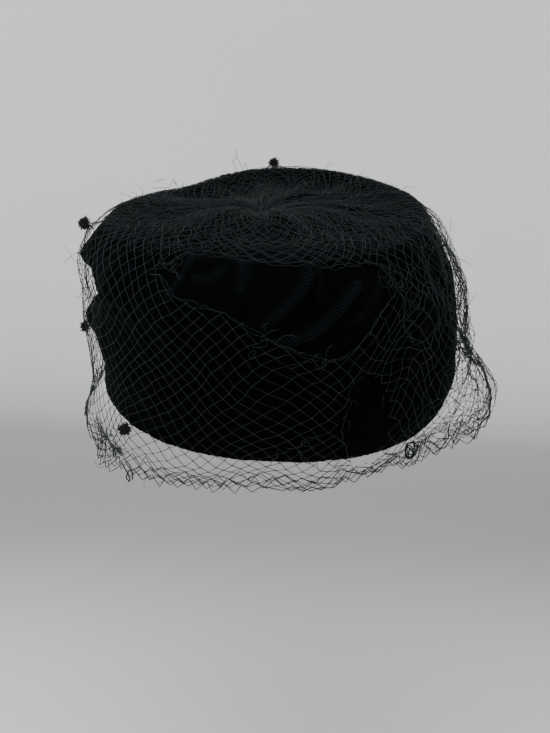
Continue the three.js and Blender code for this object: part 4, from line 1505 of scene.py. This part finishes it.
class HAT_OT_velvet(bpy.types.Operator):
    """Makes the velvet side with its rolls and pleats, and the velvet crown, gathered to its pinch"""

    bl_idname = "hat.velvet"
    bl_label = "Velvet side and crown"

    def execute(self, context):
        settings = context.scene.hat_velvet
        tree = wrinkle_tree()
        values = {
            "Depth": settings.wrinkle_depth, "Size": settings.wrinkle_size, "Finish": velvet_finish(settings),
        }
        dress(grown("velvet_side", side_mesh(), tree, values), "velvet", "side_drape")
        dress(grown("velvet_crown", crown_mesh(), tree, values), "velvet", "crown_tip")
        return {"FINISHED"}


class HAT_OT_veil_net(bpy.types.Operator):
    """Makes the knotted net: its threads and its knots"""

    bl_idname = "hat.veil_net"
    bl_label = "Net veil"

    def execute(self, context):
        settings = context.scene.hat_veil
        finish = thread_finish(settings)
        layer = Layer(settings.columns, settings.rows, 0, 1, -180, 180, NET_TURNED, lift=0, seed=0)
        lines, knots = net_lines(VeilSurface(NET_LIFT), velvet_tree(), layer)
        dress(threads("veil_threads", lines, settings.thread, finish), "net", "veil_net")
        mesh = bpy.data.meshes.new("veil_knots")
        mesh.from_pydata((knots * MM).tolist(), [], [])
        piece = grown("veil_knots", mesh, knot_tree(), {"Size": settings.knot, "Finish": finish})
        dress(piece, "net")
        return {"FINISHED"}


class HAT_OT_net_gathers(bpy.types.Operator):
    """Makes the further folds of net that are gathered over the crown and rucked up on the right side"""

    bl_idname = "hat.net_gathers"
    bl_label = "Gathered folds of net"

    def execute(self, context):
        settings = context.scene.hat_veil
        finish = finish_named("net_thread")
        surface, velvet = VeilSurface(GATHER_LIFT), velvet_tree()
        for name, layers, share in (("crown_net", CROWN_LAYERS, 0.62), ("side_net", SIDE_LAYERS, 0.8)):
            lines = []
            for layer in layers:
                lines += net_lines(surface, velvet, layer)[0]
            dress(threads(name, lines, settings.thread * share, finish), "net")
        lines = [line for crease in CREASES for line in self.bunch(surface, velvet, crease)]
        dress(threads("bunched_net", lines, settings.thread * 0.9, finish), "net")
        return {"FINISHED"}

    def bunch(self, surface, velvet, crease):
        """Threads of a crease in the net, crossing each other in sharp short turns."""
        angle, along = np.radians([a for a, _ in crease.places]), np.array([s for _, s in crease.places])
        places = np.stack([angle * RIM_RADIUS, along * CREASE_LENGTH], -1)
        path = run_through(places[None], CREASE_STEPS)[0]
        lines = []
        for number in range(crease.count):
            a, s = path[:, 0] / RIM_RADIUS, path[:, 1] / CREASE_LENGTH
            here = surface.at(a, s)
            seed = 200 + 7 * number
            aside, down, out = (
                grain(here, size, seed + k) * crease.spread * share
                for k, (size, share) in enumerate(((2.6, 1), (3.4, 0.7), (6, 1)))
            )
            a, s = a + aside / RIM_RADIUS, s + down / surface.round(surface.length, a)
            point = surface.at(a, s) + surface.normal(a, s) * (crease.out + out)[:, None]
            lines.append(clear_of(point, velvet))
        return lines


class HAT_OT_veil_edges(bpy.types.Operator):
    """Makes the bunched edges of the openings and the wavy selvedge of the hem"""

    bl_idname = "hat.veil_edges"
    bl_label = "Edges of the veil"

    def execute(self, context):
        settings = context.scene.hat_veil
        surface, velvet = VeilSurface(EDGE_LIFT), velvet_tree()
        finish = finish_named("net_thread")
        for name, lines, girth, sides in (
            ("veil_openings", self.openings(surface, velvet), settings.thread * 0.85, 4),
            ("veil_selvedge", self.hem(surface, velvet), settings.selvedge, 5),
            ("hem_loops", self.loops(surface, velvet), settings.selvedge * 1.5, 5),
        ):
            dress(threads(name, lines, girth, finish, sides), "net")
        return {"FINISHED"}

    def openings(self, surface, velvet):
        """Threads that follow both borders of the eye and the left side of the gap."""
        lines = []
        angle = np.radians(np.linspace(EYE[0].angle + 1, EYE[-1].angle - 1, 64))
        seam, opened = surface.round(surface.seam, angle), surface.round(surface.open, angle)
        length = surface.round(surface.length, angle)
        for row in EYE_THREADS:
            border = seam + opened * row.border
            base = surface.at(angle, border)
            wander = row.shift + grain(base, 6, row.seed) * 1.2 + grain(base, 2.2, row.seed + 9) * 0.9
            lines.append(clear_of(surface.at(angle, border + wander / length), velvet))
        down = np.linspace(GAP[0].down, GAP[-1].down, 18)
        angle = gap_border("left", down)
        along = surface.round(surface.edge, angle) + down / surface.round(surface.length, angle)
        wander = GAP_THREAD_SHIFT + grain(surface.at(angle, along), 4, GAP_THREAD_SEED) * 1.3
        lines.append(clear_of(surface.at(angle + wander / RIM_RADIUS, along), velvet))
        return lines

    def hem(self, surface, velvet):
        """Angular threads round the hem, laid over each other, a turn at every half wave."""
        lines = []
        step = np.arange(2 * HEM_WAVES + 1)
        for row in HEM_THREADS:
            angle = step * math.pi / HEM_WAVES + math.radians(row.turned)
            base = surface.at(angle, np.full(angle.shape, row.along))
            length = surface.round(surface.length, angle)
            zigzag = np.where(step % 2, 1, -1) * row.wave * (1 + 0.5 * grain(base, 12, row.seed))
            wander = zigzag + grain(base, 22, row.seed + 4) * 1.2 + grain(base, 5, row.seed + 8) * 0.6
            sideways = grain(base, 7, row.seed + 12) * 1.5
            along = np.minimum(row.along + wander / length, 0.999)
            lines.append(lay_net(surface, angle + sideways / RIM_RADIUS, along, velvet)[0])
        return slack(lines, velvet, 70)

    def loops(self, surface, velvet):
        """Loops of selvedge that have slipped out."""
        lines = []
        for loop in HEM_LOOPS:
            turns = np.linspace(0, loop.turns * math.tau, 40)
            x, y = np.sin(turns) * loop.radius, (1 - np.cos(turns)) * loop.radius
            middle = math.radians(loop.angle)
            length = float(surface.round(surface.length, middle))
            angle = middle + x / RIM_RADIUS
            along = loop.along + (y - loop.radius) * 1.15 / length
            base = surface.at(angle, along)
            off = 1 + 1.5 * np.cos(turns * 0.5) + grain(base, 4, 5)
            lines.append(clear_of(base + surface.normal(angle, along) * off[:, None], velvet))
        return lines


class HAT_OT_loose_threads(bpy.types.Operator):
    """Makes the single threads that stand away from the net, and its raised corner"""

    bl_idname = "hat.loose_threads"
    bl_label = "Loose threads"

    def execute(self, context):
        settings = context.scene.hat_veil
        surface, velvet = VeilSurface(EDGE_LIFT), velvet_tree()
        finish = finish_named("net_thread")
        lines = [self.strand(surface, velvet, row) for row in (*LOOSE_ENDS, *self.frayed())]
        dress(threads("loose_threads", lines, settings.thread * 0.9, finish, tapers=True), "net")
        lines = self.corner(surface, CORNER_ANGLE, CORNER_THREADS)
        lines += self.corner(surface, SIDE_CORNER_ANGLE, SIDE_CORNER_THREADS)
        dress(threads("raised_corner", lines, settings.thread, finish), "net")
        dress(threads("tangled_threads", self.tangles(surface, velvet), settings.thread, finish), "net")
        return {"FINISHED"}

    def frayed(self):
        """Short cut ends along the gap, the hem, the right side and the crown's edge."""
        pick = random.Random(12)
        places = []
        for _ in range(GAP_FRAYS):
            row = pick.choice(GAP)
            angle = pick.choice((row.left, row.right)) + pick.uniform(-1, 1)
            places.append((angle, BACK_EDGE + row.down / NET_LENGTH))
        for row in FRAYS:
            for _ in range(row.count):
                places.append((pick.uniform(row.left, row.right), pick.uniform(row.first, row.last)))
        ranges = ((2.5, 6), (0, 360), (0.1, 0.6), (-4, 4))
        return [LooseEnd(*place, *(pick.uniform(*ends) for ends in ranges)) for place in places]

    def strand(self, surface, velvet, row):
        """One thread that leaves the net and curls."""
        angle, along = math.radians(row.angle), row.along
        here = surface.at(np.array(angle), np.array(along))
        normal = surface.normal(np.array(angle), np.array(along))
        right = surface.at(np.array(angle + 0.01), np.array(along)) - here
        right = right / np.linalg.norm(right)
        down = np.cross(right, normal)
        steps, curl_a_step, droop = 10, 0.06, 0.6
        points = [here + normal * 0.3]
        heading = math.radians(row.lean)
        for step in range(steps):
            heading += row.curl * curl_a_step
            slope = row.rise * (1 - droop * step / steps)
            direction = down * math.cos(heading) + right * math.sin(heading) + normal * slope
            points.append(points[-1] + direction / np.linalg.norm(direction) * row.length / steps)
        return clear_of(np.array(points), velvet)

    def corner(self, surface, angle, rows):
        """Threads of a corner of net that stands up over the hat's edge, given as distances aside and up."""
        middle = np.array(math.radians(angle))
        foot = surface.at(middle, surface.round(surface.edge, middle) + 0.02)
        aside = surface.at(middle - 0.02, surface.round(surface.edge, middle)) - foot
        aside = aside * (1, 1, 0) / np.linalg.norm(aside[:2])
        upright = np.array((0, 0, CORNER_STRETCH))
        return [np.array([foot + aside * x + upright * y for x, y in row]) for row in rows]

    def tangles(self, surface, velvet):
        """Short threads that bend sharply back and forth, one over the other."""
        pick = random.Random(31)
        lines = []
        for row in TANGLES:
            middle = math.radians(row.angle)
            length = float(surface.round(surface.length, middle))
            for _ in range(row.count):
                x, y = pick.gauss(0, row.spread / 2), pick.gauss(0, row.spread / 2)
                heading = pick.uniform(0, math.tau)
                places = [(x, y)]
                for _ in range(4):
                    heading += pick.uniform(-1.6, 1.6)
                    x += math.cos(heading) * row.length / 4
                    y += math.sin(heading) * row.length / 4
                    places.append((x, y))
                a = middle + np.array([x for x, _ in places]) / RIM_RADIUS
                s = row.along + np.array([y for _, y in places]) / length
                off = np.array([pick.uniform(-0.5, 2.2) for _ in places])
                lines.append(clear_of(surface.at(a, s) + surface.normal(a, s) * off[:, None], velvet))
        return lines


class HAT_OT_chenille_dots(bpy.types.Operator):
    """Makes the bristly chenille dots of the veil"""

    bl_idname = "hat.chenille_dots"
    bl_label = "Chenille dots"

    def execute(self, context):
        settings = context.scene.hat_dots
        finish, tree = chenille_finish(settings), tuft_tree()
        for number, node in enumerate(VEIL_DOTS):
            values = {
                "Bristles": settings.bristles * SQUARE_MM_A_SQUARE_METRE,
                "Length": settings.bristle,
                "Seed": number + 1,
                "Finish": finish,
            }
            piece = grown(node.replace("veil", "chenille"), self.core(node, number), tree, values)
            dress(piece, "chenille", node)
        return {"FINISHED"}

    def core(self, node, number):
        """A lumpy core a little smaller than the dot, flattened as its solid is."""
        low, high = (Vector(corner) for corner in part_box(node))
        middle, span = (low + high) / 2, (high - low) / 2
        shape = bmesh.new()
        bmesh.ops.create_icosphere(shape, subdivisions=3, radius=1)
        for vertex in shape.verts:
            lump = 0.5 + 0.42 * noise.noise(vertex.co * 1.4 + Vector((number * 3.1, 0, 0)))
            vertex.co = middle + Vector(c * s * lump for c, s in zip(vertex.co, span))
        mesh = bpy.data.meshes.new(node)
        shape.to_mesh(mesh)
        shape.free()
        return mesh


class HAT_PT_sidebar(bpy.types.Panel):
    """The hat's sizes, colours and steps"""

    bl_idname = "HAT_PT_sidebar"
    bl_label = "Pillbox Hat"
    bl_space_type = "VIEW_3D"
    bl_region_type = "UI"
    bl_category = "Pillbox Hat"

    def draw(self, context):
        for group, settings in SETTINGS.items():
            box = self.layout.box()
            for name in settings.__annotations__:
                box.prop(getattr(context.scene, group), name)
        for operator in OPERATORS:
            self.layout.operator(operator.bl_idname)


OPERATORS = (
    HAT_OT_stage,
    HAT_OT_velvet,
    HAT_OT_veil_net,
    HAT_OT_net_gathers,
    HAT_OT_veil_edges,
    HAT_OT_loose_threads,
    HAT_OT_chenille_dots,
)
SETTINGS = {
    "hat_velvet": VelvetSettings,
    "hat_veil": VeilSettings,
    "hat_dots": DotSettings,
    "hat_stage": StageSettings,
}


def register():
    for made in (*SETTINGS.values(), *OPERATORS, HAT_PT_sidebar):
        bpy.utils.register_class(made)
    for name, group in SETTINGS.items():
        setattr(bpy.types.Scene, name, PointerProperty(type=group))


def unregister():
    for name in SETTINGS:
        delattr(bpy.types.Scene, name)
    for made in (HAT_PT_sidebar, *reversed(OPERATORS), *SETTINGS.values()):
        bpy.utils.unregister_class(made)


def main():
    register()
    for operator in OPERATORS:
        family, name = operator.bl_idname.split(".")
        getattr(getattr(bpy.ops, family), name)()


if __name__ == "__main__":
    main()
